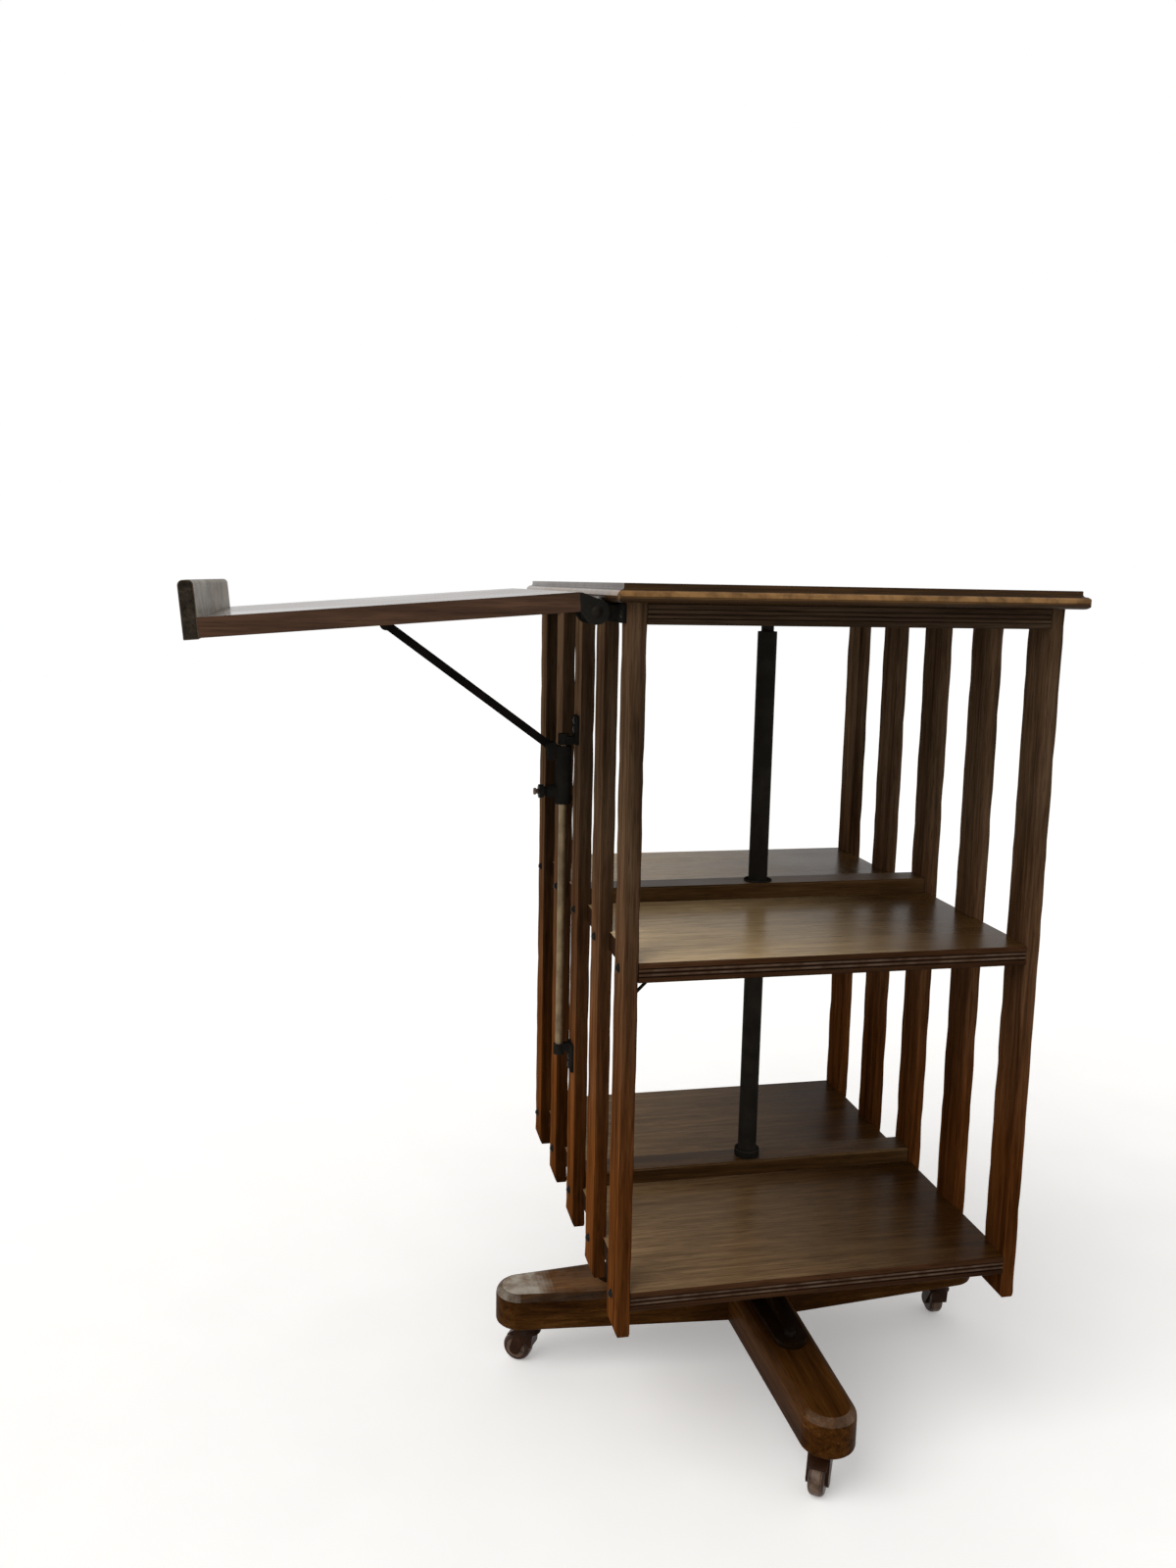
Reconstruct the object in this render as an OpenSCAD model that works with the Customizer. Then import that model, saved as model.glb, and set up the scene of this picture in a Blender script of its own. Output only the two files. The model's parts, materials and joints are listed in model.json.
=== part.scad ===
// Revolving bookcase with a folding book rest, in millimetres.
// The case hangs on an iron pole that stands in a crossed oak base on casters.
// Every sub-part is drawn with the pole on the Z axis, then moved along X by axis_x,
// which puts the origin at the middle of the whole object's footprint, on the floor.

/* [Case] */
// Height of the table top above the floor
total_height = 837; // [780:1:900]
// Width of the case over the outer faces of its slats
case_width = 396; // [350:1:450]
// Depth of the case over its front and back slats
case_depth = 445; // [415:1:500]
// Clear height of the upper tier; the lower tier has the height that is left
tier_height = 291; // [260:1:305]
// Height of the bottom shelf's underside above the floor
shelf_clearance = 185; // [178:1:207]

/* [Table top] */
// Thickness of the moulded top board
top_thickness = 16; // [15:0.5:22]
// How far the top board stands out past the slats
top_overhang = 16; // [12:0.5:18]
// Radius of the round nose on the edge of the top board
nose_radius = 5.5; // [4:0.5:6]
// Radius of the hollow above the round nose
cove_radius = 2.4; // [2:0.2:4]
// Step between the round nose and the hollow
nose_step = 0.4; // [0.2:0.1:2]
// Rounding of the corners of the top board, seen from above
top_corner = 4; // [2:0.5:8]

/* [Shelves] */
// Thickness of the shelves and of the board under the top
shelf_thickness = 18; // [16:0.5:20]
// Radius of each of the two reeds along a shelf edge
reed_radius = 2; // [1:0.1:2.5]
// Width of the arris taken off the top and bottom edge of a shelf
shelf_arris = 1.2; // [0.5:0.1:2]
// Depth to which shelf ends are let into the slats
housing_depth = 3; // [1:0.5:5]
// Distance from the slat's front face to the let-in shelf end
housing_stop = 8; // [4:1:14]
// Width of the raised strip along the middle of a shelf
strip_width = 32; // [28:1:34]
// Height of the raised strip above its shelf
strip_height = 16; // [10:1:24]
// Width of the arris on the raised strip
strip_arris = 1.5; // [0.5:0.1:3]

/* [Slats] */
// Width of a slat
slat_width = 38; // [32:0.5:42]
// Thickness of a slat
slat_thickness = 13.5; // [10:0.5:16]
// How far the slats run down past the bottom shelf
slat_drop = 24; // [16:1:30]
// Height of the slope cut on the outer face of a slat's foot
slat_slope_height = 4; // [2:0.5:10]
// Depth of that slope at the slat's end
slat_slope = 2; // [1:0.5:6]
// Depth of the shorter slope on the inner face of the foot
slat_back_slope = 1; // [0.5:0.5:3]
// Width of the arris along the slat's long edges
slat_arris = 1.2; // [0.4:0.1:2]

/* [Pole] */
// Diameter of the iron pole
pole_diameter = 20; // [18:0.5:21]
// Diameter of the neck on top of the pole
neck_diameter = 13; // [9:0.5:15]
// Bare height between the pole's shoulder and the board above it
neck_show = 12.6; // [8:0.2:20]
// Depth of the neck in the board above it
neck_seat = 11; // [6:0.5:14]
// Outer diameter of the pivot socket's cup
socket_diameter = 22; // [20:0.5:26]
// Diameter of the pivot socket's flange
socket_flange = 54; // [46:1:64]
// Thickness of the pivot socket's flange
socket_flange_thickness = 4; // [2:0.5:6]
// Outer diameter of the guide bush above its strip
bush_diameter = 27; // [26:0.5:31]
// Outer diameter of the guide bush inside its strip
bush_body = 24; // [23:0.2:25]
// Height of the guide bush above its strip
bush_rise = 8; // [3:0.5:14]
// Width of the gap between the pole and the ring on the middle strip
ring_gap = 1.5; // [1:0.1:3]
// Width of the metal of the ring on the middle strip
ring_width = 3.2; // [2:0.2:4]
// Thickness of the ring on the middle strip
ring_thickness = 1.6; // [1:0.2:3]

/* [Base] */
// Length of each base arm from tip to tip
base_span = 552; // [500:1:600]
// Width of the side arm where the two cross
side_arm_root = 98; // [84:1:110]
// Width of the front arm where the two cross
arm_root = 62; // [56:1:70]
// Width of a base arm at its tip
arm_tip = 53; // [46:1:54]
// Thickness of the base arms
arm_thickness = 39; // [34:1:46]
// Radius rounded over the top edges of the arms
arm_round = 9; // [4:0.5:10]
// Radius rounded under the bottom edges of the arms
arm_under_round = 3; // [1:0.5:5]
// Diameter of the pole's stud below its shoulder
stud_diameter = 14; // [12:0.5:16]
// Height of the nut and its washer under the arms
nut_height = 11; // [8:0.5:14]
// Diameter of the washer under the arms
washer_diameter = 30; // [28:1:40]
// Thickness of the washer under the arms
washer_thickness = 2.5; // [1.5:0.5:4]

/* [Foot plate] */
// Reach of each iron tongue from the pole
spider_reach = 165; // [162:1:180]
// Width of a tongue at the hub
spider_root = 42; // [34:1:44]
// Width of a tongue at its rounded end
spider_tip = 32; // [24:1:36]
// Thickness of the tongues
spider_thickness = 6; // [4:0.5:9]
// Diameter of the hub around the pole
hub_diameter = 42; // [34:1:48]
// Height of the hub above the arms
hub_height = 50; // [30:1:60]
// Thickness of the rib along each tongue
rib_thickness = 5; // [3:0.5:8]
// Height of the rib at its outer end, above its tongue
rib_low = 2; // [1:0.5:4]
// Distance of the rib's top below the top of the hub
rib_below_hub = 8; // [4:1:20]
// Distance of the bolts from the pole
bolt_radius = 148; // [120:1:150]
// Diameter of the bolt shanks
bolt_diameter = 6; // [5:0.5:8]
// Width across the corners of the bolt heads
bolt_head = 12; // [10:0.5:14]
// Height of the bolt heads
bolt_head_height = 4.5; // [3:0.5:7]
// Length of the bolt below its head
bolt_length = 34; // [20:1:38]

/* [Casters] */
// Height of a caster from the floor to the arm
caster_height = 51; // [49:1:66]
// Distance of a caster's stem from the tip of its arm
caster_inset = 36; // [28:1:50]
// Diameter of a caster wheel
wheel_diameter = 31; // [27:1:34]
// Width of a caster wheel
wheel_width = 15.5; // [13:0.5:20]
// Rounding of the wheel's edges
wheel_round = 5; // [2:0.5:6]
// Distance of the axle behind the stem
caster_trail = 12.5; // [8:0.5:14]
// Diameter of the axle
axle_diameter = 5; // [4:0.5:6]
// Thickness of a fork cheek
cheek_thickness = 2.5; // [2:0.5:4]
// Diameter of a caster's stem
stem_diameter = 8; // [6:0.5:9]
// Diameter of the socket that the stem turns in
stem_socket = 13; // [12:0.5:15]
// Depth of that socket in the arm
socket_depth = 30; // [24:1:34]
// Diameter of the caster's top plate
plate_diameter = 38; // [32:1:44]
// Thickness of the caster's top plate
plate_thickness = 2.5; // [2:0.5:4]
// Heading of the front caster's wheel from its stem, in degrees from +X
front_heading = 236; // [0:1:360]
// Heading of the right caster's wheel
right_heading = 86; // [0:1:360]
// Heading of the back caster's wheel
back_heading = 200; // [0:1:360]
// Heading of the left caster's wheel
left_heading = 148; // [0:1:360]

/* [Book rest] */
// Width of the book rest
rest_width = 380; // [370:1:395]
// Length of its board from the hinge end to the ledge
rest_length = 311; // [260:1:320]
// Thickness of its board
rest_thickness = 16.5; // [14:0.5:20]
// Fall of the board towards its ledge, in degrees
rest_tilt = 4.6; // [0:0.1:8]
// Thickness of the ledge
ledge_thickness = 12.5; // [10:0.5:16]
// Height of the ledge above the board
ledge_rise = 30; // [15:1:31]
// How far the ledge hangs below the board
ledge_drop = 1; // [0.5:0.1:1.5]
// Rounding of the ledge's two top edges
ledge_round = 4.5; // [2:0.5:4.5]
// Width of the arris on the board
rest_arris = 1; // [0.5:0.1:2]

/* [Rest hinges] */
// Distance of the hinge pins out from the slats
pivot_out = 22.7; // [22.2:0.1:25]
// Distance of the hinge pins below the table top
pivot_below = 24.7; // [23:0.1:27]
// Distance from the pins to the end of the board
rest_start = 14; // [13.5:0.1:18]
// Height of the board's underside above the pins
rest_above = 1; // [0:0.1:2]
// Diameter of the hinge pins
hinge_pin = 6; // [4:0.5:7]
// Diameter of the hinge pins' heads
hinge_pin_head = 10; // [8:0.5:14]
// Height of the hinge pins' heads
hinge_pin_dome = 2.4; // [1:0.2:4]
// Radius of the moving ears around the pins
ear_radius = 11; // [9:0.5:11.5]
// Thickness of the moving ears
ear_thickness = 4; // [3:0.5:6]
// Distance over the two ears of a hinge
hinge_width = 40; // [30:1:50]
// Radius of the fixed knuckle between the ears
knuckle_radius = 8; // [6:0.5:9]
// Width of the hinge leaf on the end of the board
leaf_width = 70; // [56:1:90]
// Thickness of that leaf
leaf_thickness = 2.5; // [2:0.5:4]
// Height of that leaf
leaf_height = 15.5; // [10:0.5:16]
// Height of the bracket on the slats
bracket_height = 16; // [13:0.5:17]
// Thickness of the brackets on the slats
bracket_thickness = 3; // [2:0.5:5]
// Depth of the hinge bracket's arm, from top to bottom
bracket_arm_height = 12; // [8:0.5:14]

/* [Stay] */
// Length of the stay between its two pivots
stay_length = 205; // [198:1:220]
// Height of the flat bar
stay_height = 8.5; // [6:0.5:10]
// Thickness of the flat bar
stay_thickness = 3; // [2:0.5:4]
// Radius of the eye at each end of the bar
stay_eye = 6; // [5:0.5:6.5]
// Diameter of the pin in the upper eye
stay_pin_diameter = 5; // [4:0.5:6]
// Diameter of the heads on the stay's pins
stay_pin_head = 8; // [7:0.5:10]
// Height of the heads on the stay's pins
stay_pin_dome = 1.5; // [1:0.1:1.8]
// Distance of the upper pivot along the board from the hinge pins
lug_along = 168.3; // [160:0.1:174]
// Distance of the upper pivot below the line through the hinge pins
lug_below = 5.8; // [5.5:0.1:9]
// Thickness of the lug under the board
lug_thickness = 3.2; // [2:0.1:4]
// Length of the lug's foot along the board
lug_foot_length = 44; // [36:1:60]
// Width of the lug's foot across the board
lug_foot_width = 22; // [18:1:26]
// Thickness of the lug's foot
lug_foot_thickness = 2.5; // [2:0.5:3.5]
// Distance of the stay's near face from the rod's middle
stay_offset = 9.4; // [9.2:0.1:10]

/* [Guide rod] */
// Diameter of the guide rod
rod_diameter = 7.5; // [6:0.5:8]
// Distance of the rod's axis from the slats
rod_out = 14; // [13.5:0.1:16]
// Distance of the rod's top below the table top
rod_below = 154; // [152:1:158]
// Length of the guide rod
rod_length = 332; // [325:1:360]
// Height of the arm of each rod bracket
rod_arm_height = 8; // [7:0.5:9]
// Diameter of the boss that holds each end of the rod
rod_boss = 11; // [10:0.5:11.5]
// Width of the arm of each rod bracket
rod_arm_width = 9; // [6:0.5:11]
// Width of the flange of each rod bracket
rod_flange_width = 22; // [16:1:26]
// Height of the flange beyond its arm
rod_flange_rise = 21; // [19:0.5:30]
// Height of the cap nut on each end of the rod
rod_cap = 3; // [2:0.5:5]

/* [Collar] */
// Outer diameter of the sliding sleeve
sleeve_diameter = 16.5; // [14:0.5:17.5]
// Length of the sliding sleeve
sleeve_length = 59; // [48:1:62]
// Height of the sleeve's top above the stay's lower pivot
sleeve_above = 2; // [0:0.5:3]
// Distance of the stay's lower pivot from the rod's axis
collar_pivot_out = 11; // [9:0.5:12]
// Distance of the ear's outer face from the rod's axis
collar_ear_out = 16; // [14:0.5:18]
// Height of the neck that joins the ear to the sleeve
collar_neck = 12; // [8:1:16]
// Width of the ear
collar_ear_width = 7; // [5:0.5:10]
// Distance of the thumbscrew below the stay's lower pivot
thumb_below = 44; // [34:0.5:48]
// Diameter of the boss that the thumbscrew turns in
thumb_boss = 13; // [11:0.5:16]
// Length of that boss from the rod's axis
thumb_boss_out = 17; // [16.5:0.5:22]

/* [Thumbscrew] */
// Diameter of the thumbscrew's shank
thumb_diameter = 5; // [4:0.5:6]
// Diameter of its grip disc
thumb_disc = 14; // [10:0.5:18]
// Thickness of its grip disc
thumb_disc_thickness = 5; // [3:0.5:8]
// Diameter of its shoulder against the boss
thumb_shoulder = 10; // [8:0.5:12]
// Thickness of that shoulder
thumb_shoulder_thickness = 2.7; // [1.5:0.1:4]
// Diameter of the small knob on its end
thumb_tip = 7; // [5:0.5:9]
// Distance of the knob's end from the grip disc
thumb_tip_out = 5; // [4:0.5:8]

/* [Screws] */
// Diameter of the dome head on a slat screw
slat_screw_head = 8.5; // [7:0.5:10]
// Height of that dome
slat_screw_dome = 3.5; // [2:0.1:4]
// Diameter of the slat screws' shanks
slat_screw_shank = 4; // [3:0.5:5]
// Length of the slat screws below the head
slat_screw_length = 34; // [24:1:45]
// Diameter of the heads on the screws that hold the ironwork
small_screw_head = 7; // [5.5:0.5:8]
// Height of those heads
small_screw_dome = 1.6; // [1:0.1:2]
// Diameter of those screws' shanks
small_screw_shank = 3; // [2.5:0.5:3.5]
// Length of those screws in the wood
small_screw_length = 9; // [6:0.5:9]
// Diameter of the screws that hold the top board down
top_screw_shank = 4.5; // [3:0.5:6]
// Diameter of the heads of those screws
top_screw_head = 9; // [7:0.5:12]
// Height of those heads
top_screw_dome = 2; // [1:0.1:3]
// Depth to which those screws go into the top board
top_screw_bite = 9; // [6:0.5:12]

/* [Fits] */
// Radial clearance of a shaft that turns or slides
running_fit = 0.08; // [0.04:0.01:0.1]
// Radial clearance of a piece that is fixed in its hole
seat_fit = 0.03; // [0.02:0.01:0.1]
// Gap around a joint cut in wood
wood_gap = 0.1; // [0.05:0.05:0.3]
// Gap between faces of ironwork that pass each other
iron_gap = 0.3; // [0.2:0.05:0.3]

/* [Hidden] */
$fn = 48;

oak = "#6b4426";
dark_oak = "#4f311c";
iron = "#2b2a29";
steel = "#9a8f78";
caster_brown = "#4a2a1e";

// Heights of the boards, from the top down
top_under = total_height - top_thickness;
sub_under = top_under - shelf_thickness;
middle_top = sub_under - tier_height;
middle_under = middle_top - shelf_thickness;
bottom_under = shelf_clearance;
bottom_top = bottom_under + shelf_thickness;
slat_foot = bottom_under - slat_drop;

// Faces of the slats and the places of their rows, the first at the front
slat_outer = case_width / 2;
slat_inner = slat_outer - slat_thickness;
slat_pitch = (case_depth - slat_width) / 4;
slat_row_y = [for (row = [0:4]) (row - 2) * slat_pitch];
left = -1;
right = 1;
front = -1;
back = 1;

// Heights of the base and the pole
arm_top = caster_height + arm_thickness;
arm_middle = caster_height + arm_thickness / 2;
stem_radius = base_span / 2 - caster_inset;
tongue_top = arm_top + spider_thickness;
pole_shoulder = sub_under - neck_show;
neck_top = sub_under + neck_seat;
cup_wall = 3;
nut_wall = 5.5;

// How far a cut runs out past the face that it opens
cut_over = 1;
ring_inner = pole_diameter / 2 + ring_gap;
strip_hole = ring_inner + 0.5;

// Headings of the four arms, from +X
right_arm = 0;
back_arm = 90;
left_arm = 180;
front_arm = 270;

// Heights of the caster's parts
plate_under = caster_height - plate_thickness;
wheel_radius = wheel_diameter / 2;
crown_neck = 4;
crown_height = 9;
crown_top = plate_under - crown_neck;
crown_under = crown_top - crown_height;
crown_radius = 13;
crown_top_radius = 8;
fork_gap = 0.5;
cheek_inner = wheel_width / 2 + fork_gap;
cheek_outer = cheek_inner + cheek_thickness;
cheek_foot_radius = 6;
web_inner = wheel_radius + 2 * fork_gap;
web_reach = 9.5;
cheek_top = crown_under + 3;
cheek_back = 8;
cheek_front = 12;
stem_end_gap = 1;
stem_top = caster_height + socket_depth - cup_wall - stem_end_gap;

// The hinge line of the book rest, and its own axes: x out of the case, z up from the board
pivot_x = -(slat_outer + pivot_out);
pivot_z = total_height - pivot_below;
rest_half = rest_width / 2;
rest_top = rest_above + rest_thickness;
rest_end = rest_start + rest_length;
ledge_end = rest_end + ledge_thickness;
ledge_top = rest_top + ledge_rise;

// Pivots of the stay, in the case's own axes, with the book rest raised
lug_x = pivot_x - lug_along * cos(rest_tilt) + lug_below * sin(rest_tilt);
lug_z = pivot_z - lug_along * sin(rest_tilt) - lug_below * cos(rest_tilt);
rod_x = -(slat_outer + rod_out);
collar_x = rod_x - collar_pivot_out;
collar_z = lug_z - sqrt(pow(stay_length, 2) - pow(collar_x - lug_x, 2));
rod_radius = rod_diameter / 2;
rod_top = total_height - rod_below;
rod_foot = rod_top - rod_length;
thumb_z = collar_z - thumb_below;
lug_face = stay_offset - iron_gap;

// The farthest point of the ledge, on the round of its outer top edge
rest_reach = -pivot_x + (ledge_end - ledge_round) * cos(rest_tilt)
    + (ledge_top - ledge_round) * sin(rest_tilt) + ledge_round;
axis_x = (rest_reach - base_span / 2) / 2;

// Places of the screws in the ironwork
rod_screw_heights = [7, 16];
socket_screw_radius = socket_flange / 2 - 6;
bracket_screw_in = 7;
bracket_foot = pivot_z - bracket_height / 2 - 1;
lug_screw_in = 7;
leaf_screw_in = 12;
leaf_low = rest_above + 0.5;
leaf_screw_z = leaf_low + leaf_height / 2;
top_screw_side = 40;
top_screw_end = 60;
top_screw_x = slat_inner - top_screw_side;
top_screw_y = case_depth / 2 - top_screw_end;

// Points on an arc about [x, y], from one angle to another
function arc(x, y, radius, from, to, steps) =
    [for (i = [0:steps]) let (a = from + (to - from) * i / steps)
        [x + radius * cos(a), y + radius * sin(a)]];

// Points of a list turned end for end
function reversed(points) = [for (i = [len(points) - 1:-1:0]) points[i]];

// Outline of the top board's edge, from the underside up, as [distance in, height]
function top_edge() = concat(
    arc(nose_radius, nose_radius, nose_radius, 270, nose_end, 9),
    [[nose_edge + nose_step, cove_foot]],
    arc(nose_edge + nose_step, cove_foot + cove_radius, cove_radius, -80, 0, 4),
    [[fillet_in, top_thickness - top_arris], [fillet_in + top_arris, top_thickness]]);
nose_end = 110;
nose_edge = nose_radius * (1 + cos(nose_end));
cove_foot = nose_radius * (1 + sin(nose_end));
fillet_in = nose_edge + nose_step + cove_radius;
top_arris = 0.5;

// Section of a moulded board across a given width, from two mirrored edges
function moulded_section(width, edge) = concat(
    [for (p = edge) [width / 2 - p[0], p[1]]],
    [for (p = reversed(edge)) [p[0] - width / 2, p[1]]]);

// Outline of a reeded shelf edge, from the underside up, as [distance in, height]
function reed(height) = arc(reed_radius, height, reed_radius, 260, 100, 8);
reeds_half = 2 * reed_radius + 0.4;
function shelf_edge() = concat(
    [[shelf_arris, 0], [0, shelf_arris], [0, shelf_thickness / 2 - reeds_half]],
    reed(shelf_thickness / 2 - reed_radius),
    reed(shelf_thickness / 2 + reed_radius),
    [[0, shelf_thickness / 2 + reeds_half],
     [0, shelf_thickness - shelf_arris], [shelf_arris, shelf_thickness]]);

// Half of a base arm's section, from the underside up, as [distance out, height]
function arm_half_section(half) = concat(
    [[0, caster_height]],
    arc(half - arm_under_round, caster_height + arm_under_round, arm_under_round, 270, 360, 3),
    arc(half - arm_round, arm_top - arm_round, arm_round, 0, 90, 6),
    [[0, arm_top]]);

// Puts a piece where the pole's axis really stands
module placed() {
    translate([axis_x, 0, 0]) children();
}

// Puts a piece that was drawn on the book rest's own axes where the rest is raised
module on_rest() {
    translate([pivot_x, 0, pivot_z]) rotate([0, -rest_tilt, 0]) children();
}

// Turns a flat drawing in X and Z into a plate between two places along Y
module plate_between(y_from, y_to) {
    translate([0, y_to, 0]) rotate([90, 0, 0]) linear_extrude(y_to - y_from) children();
}

// A cylinder along Y between two places
module rod_y(x, z, radius, y_from, y_to) {
    translate([x, y_from, z]) rotate([-90, 0, 0]) cylinder(r = radius, h = y_to - y_from);
}

// A cylinder that points out of the left side, from one X down to another
module rod_out_x(z, radius, x_from, x_to) {
    translate([x_from, 0, z]) rotate([0, -90, 0]) cylinder(r = radius, h = x_from - x_to);
}

// The hole that a small screw goes into, from the face at the origin upwards
module small_screw_hole() {
    translate([0, 0, -cut_over])
        cylinder(r = small_screw_shank / 2 + seat_fit, h = small_screw_length + 1 + cut_over);
}

// A screw with a domed head, pointing up, its head's flat face at the origin
module domed_screw(head, dome, shank, length) {
    ball = (pow(head / 2, 2) + pow(dome, 2)) / (2 * dome);
    intersection() {
        translate([0, 0, ball - dome]) sphere(ball);
        translate([0, 0, -dome]) cylinder(d = head, h = dome);
    }
    cylinder(d = shank, h = length);
}

// Boards
module moulded_top() {
    width = case_width + 2 * top_overhang;
    depth = case_depth + 2 * top_overhang;
    translate([0, 0, top_under]) intersection() {
        rotate([90, 0, 0]) linear_extrude(depth, center = true)
            polygon(moulded_section(width, top_edge()));
        rotate([90, 0, 90]) linear_extrude(width, center = true)
            polygon(moulded_section(depth, top_edge()));
        linear_extrude(top_thickness) {
            square([width - 2 * top_corner, depth], center = true);
            square([width, depth - 2 * top_corner], center = true);
            for (x = [-1, 1], y = [-1, 1])
                translate([x * (width / 2 - top_corner), y * (depth / 2 - top_corner)])
                    circle(top_corner);
        }
    }
}

module top_board() {
    color(oak) difference() {
        moulded_top();
        top_screw_places() translate([0, 0, -1])
            cylinder(r = top_screw_shank / 2 + seat_fit, h = top_screw_bite + 1.5);
    }
}

// Where the screws go up through the board under the top
module top_screw_places() {
    for (x = [-1, 1], y = [-1, 1])
        translate([x * top_screw_x, y * top_screw_y, top_under]) children();
}

// The shelf's let-in ends, grown by a gap for the housings cut in the slats
module shelf_tongue(under, gap) {
    reach = slat_inner + housing_depth + gap;
    half = case_depth / 2 - housing_stop + gap;
    translate([-reach, -half, under - gap])
        cube([2 * reach, 2 * half, shelf_thickness + 2 * gap]);
}

// Holes for the slat screws that run into the ends of a shelf
module slat_screw_holes(under) {
    for (side = [left, right], y = slat_row_y)
        translate([side * (slat_outer + cut_over), y, under + shelf_thickness / 2])
            rotate([0, -side * 90, 0])
                cylinder(r = slat_screw_shank / 2 + seat_fit, h = slat_screw_length + 1 + cut_over);
}

module shelf(under) {
    translate([0, 0, under]) rotate([90, 0, 90])
        linear_extrude(2 * slat_inner, center = true)
            polygon(moulded_section(case_depth, shelf_edge()));
    shelf_tongue(under, 0);
}

module middle_shelf() {
    color(oak) difference() {
        shelf(middle_under);
        slat_screw_holes(middle_under);
        pole_hole(middle_under, strip_hole);
    }
}

module bottom_shelf() {
    color(oak) difference() {
        shelf(bottom_under);
        slat_screw_holes(bottom_under);
        pole_hole(bottom_under, bush_body / 2 + seat_fit);
    }
}

// A hole for the pole through a shelf and the strip on it
module pole_hole(under, radius) {
    translate([0, 0, under - 1]) cylinder(r = radius, h = shelf_thickness + strip_height + 2);
}

module sub_top() {
    color(dark_oak) difference() {
        shelf(sub_under);
        translate([0, 0, sub_under - 1])
            cylinder(r = socket_diameter / 2 + seat_fit, h = neck_seat + cup_wall + 1);
        top_screw_places() translate([0, 0, -shelf_thickness - 1])
            cylinder(r = top_screw_shank / 2 + seat_fit, h = shelf_thickness + 2);
        socket_screw_places() small_screw_hole();
    }
}

module strip(shelf_top) {
    translate([0, 0, shelf_top]) rotate([90, 0, 90]) linear_extrude(2 * slat_inner, center = true)
        polygon([
            [-strip_width / 2, 0], [strip_width / 2, 0],
            [strip_width / 2, strip_height - strip_arris],
            [strip_width / 2 - strip_arris, strip_height],
            [strip_arris - strip_width / 2, strip_height],
            [-strip_width / 2, strip_height - strip_arris]
        ]);
}

module middle_strip() {
    color(oak) difference() {
        strip(middle_top);
        pole_hole(middle_under, strip_hole);
    }
}

module bottom_strip() {
    color(oak) difference() {
        strip(bottom_top);
        pole_hole(bottom_under, bush_body / 2 + seat_fit);
    }
}

// Slats, drawn on the right side and mirrored to the left
module slat_blank() {
    intersection() {
        translate([0, 0, slat_foot]) linear_extrude(top_under - slat_foot) polygon([
            [slat_inner + slat_arris, -slat_width / 2], [slat_outer - slat_arris, -slat_width / 2],
            [slat_outer, slat_arris - slat_width / 2], [slat_outer, slat_width / 2 - slat_arris],
            [slat_outer - slat_arris, slat_width / 2], [slat_inner + slat_arris, slat_width / 2],
            [slat_inner, slat_width / 2 - slat_arris], [slat_inner, slat_arris - slat_width / 2]
        ]);
        plate_between(-slat_width, slat_width) polygon([
            [slat_inner + slat_back_slope, slat_foot], [slat_outer - slat_slope, slat_foot],
            [slat_outer, slat_foot + slat_slope_height], [slat_outer, top_under],
            [slat_inner, top_under], [slat_inner, slat_foot + slat_slope_height / 2]
        ]);
    }
}

module slat(side, row) {
    color(row == 1 ? dark_oak : oak) difference() {
        translate([0, slat_row_y[row - 1], 0])
            if (side == right) slat_blank();
            else mirror([1, 0, 0]) slat_blank();
        for (under = [sub_under, middle_under, bottom_under]) shelf_tongue(under, wood_gap);
        for (under = [middle_under, bottom_under]) slat_screw_holes(under);
        if (side == left) left_side_screw_places() small_screw_hole();
    }
}

module slat_screws() {
    color(iron) for (side = [left, right], y = slat_row_y, under = [middle_under, bottom_under])
        translate([side * slat_outer, y, under + shelf_thickness / 2])
            rotate([0, -side * 90, 0])
                domed_screw(slat_screw_head, slat_screw_dome, slat_screw_shank, slat_screw_length);
}

module top_screws() {
    color(iron) top_screw_places() translate([0, 0, -shelf_thickness])
        domed_screw(top_screw_head, top_screw_dome, top_screw_shank,
            shelf_thickness + top_screw_bite);
}

// Pole, its socket, ring and bush
module pole() {
    color(iron) {
        translate([0, 0, tongue_top])
            cylinder(d = pole_diameter, h = pole_shoulder - tongue_top);
        translate([0, 0, pole_shoulder]) cylinder(d = neck_diameter, h = neck_top - pole_shoulder);
        translate([0, 0, caster_height - nut_height])
            cylinder(d = stud_diameter, h = tongue_top - caster_height + nut_height);
    }
}

module pole_nut() {
    color(iron) difference() {
        union() {
            translate([0, 0, caster_height - washer_thickness])
                cylinder(d = washer_diameter, h = washer_thickness);
            translate([0, 0, caster_height - nut_height])
                cylinder(r = stud_diameter / 2 + nut_wall, h = nut_height, $fn = 6);
        }
        translate([0, 0, caster_height - nut_height - 1])
            cylinder(r = stud_diameter / 2 + seat_fit, h = nut_height + 2);
    }
}

module pivot_socket() {
    color(iron) difference() {
        union() {
            translate([0, 0, sub_under - socket_flange_thickness])
                cylinder(d = socket_flange, h = socket_flange_thickness);
            translate([0, 0, sub_under])
                cylinder(d = socket_diameter, h = neck_seat + cup_wall);
        }
        translate([0, 0, sub_under - socket_flange_thickness - 1])
            cylinder(r = neck_diameter / 2 + running_fit, h = neck_seat + socket_flange_thickness + 1);
        socket_screw_places() translate([0, 0, -socket_flange_thickness - 1])
            cylinder(r = small_screw_shank / 2 + seat_fit, h = socket_flange_thickness + 2);
    }
}

// Where four screws go up through the socket's flange
module socket_screw_places() {
    for (a = [45:90:315])
        rotate(a) translate([socket_screw_radius, 0, sub_under]) children();
}

module pole_ring() {
    color(iron) translate([0, 0, middle_top + strip_height]) difference() {
        cylinder(r = ring_inner + ring_width, h = ring_thickness);
        translate([0, 0, -1]) cylinder(r = ring_inner, h = ring_thickness + 2);
    }
}

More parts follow.
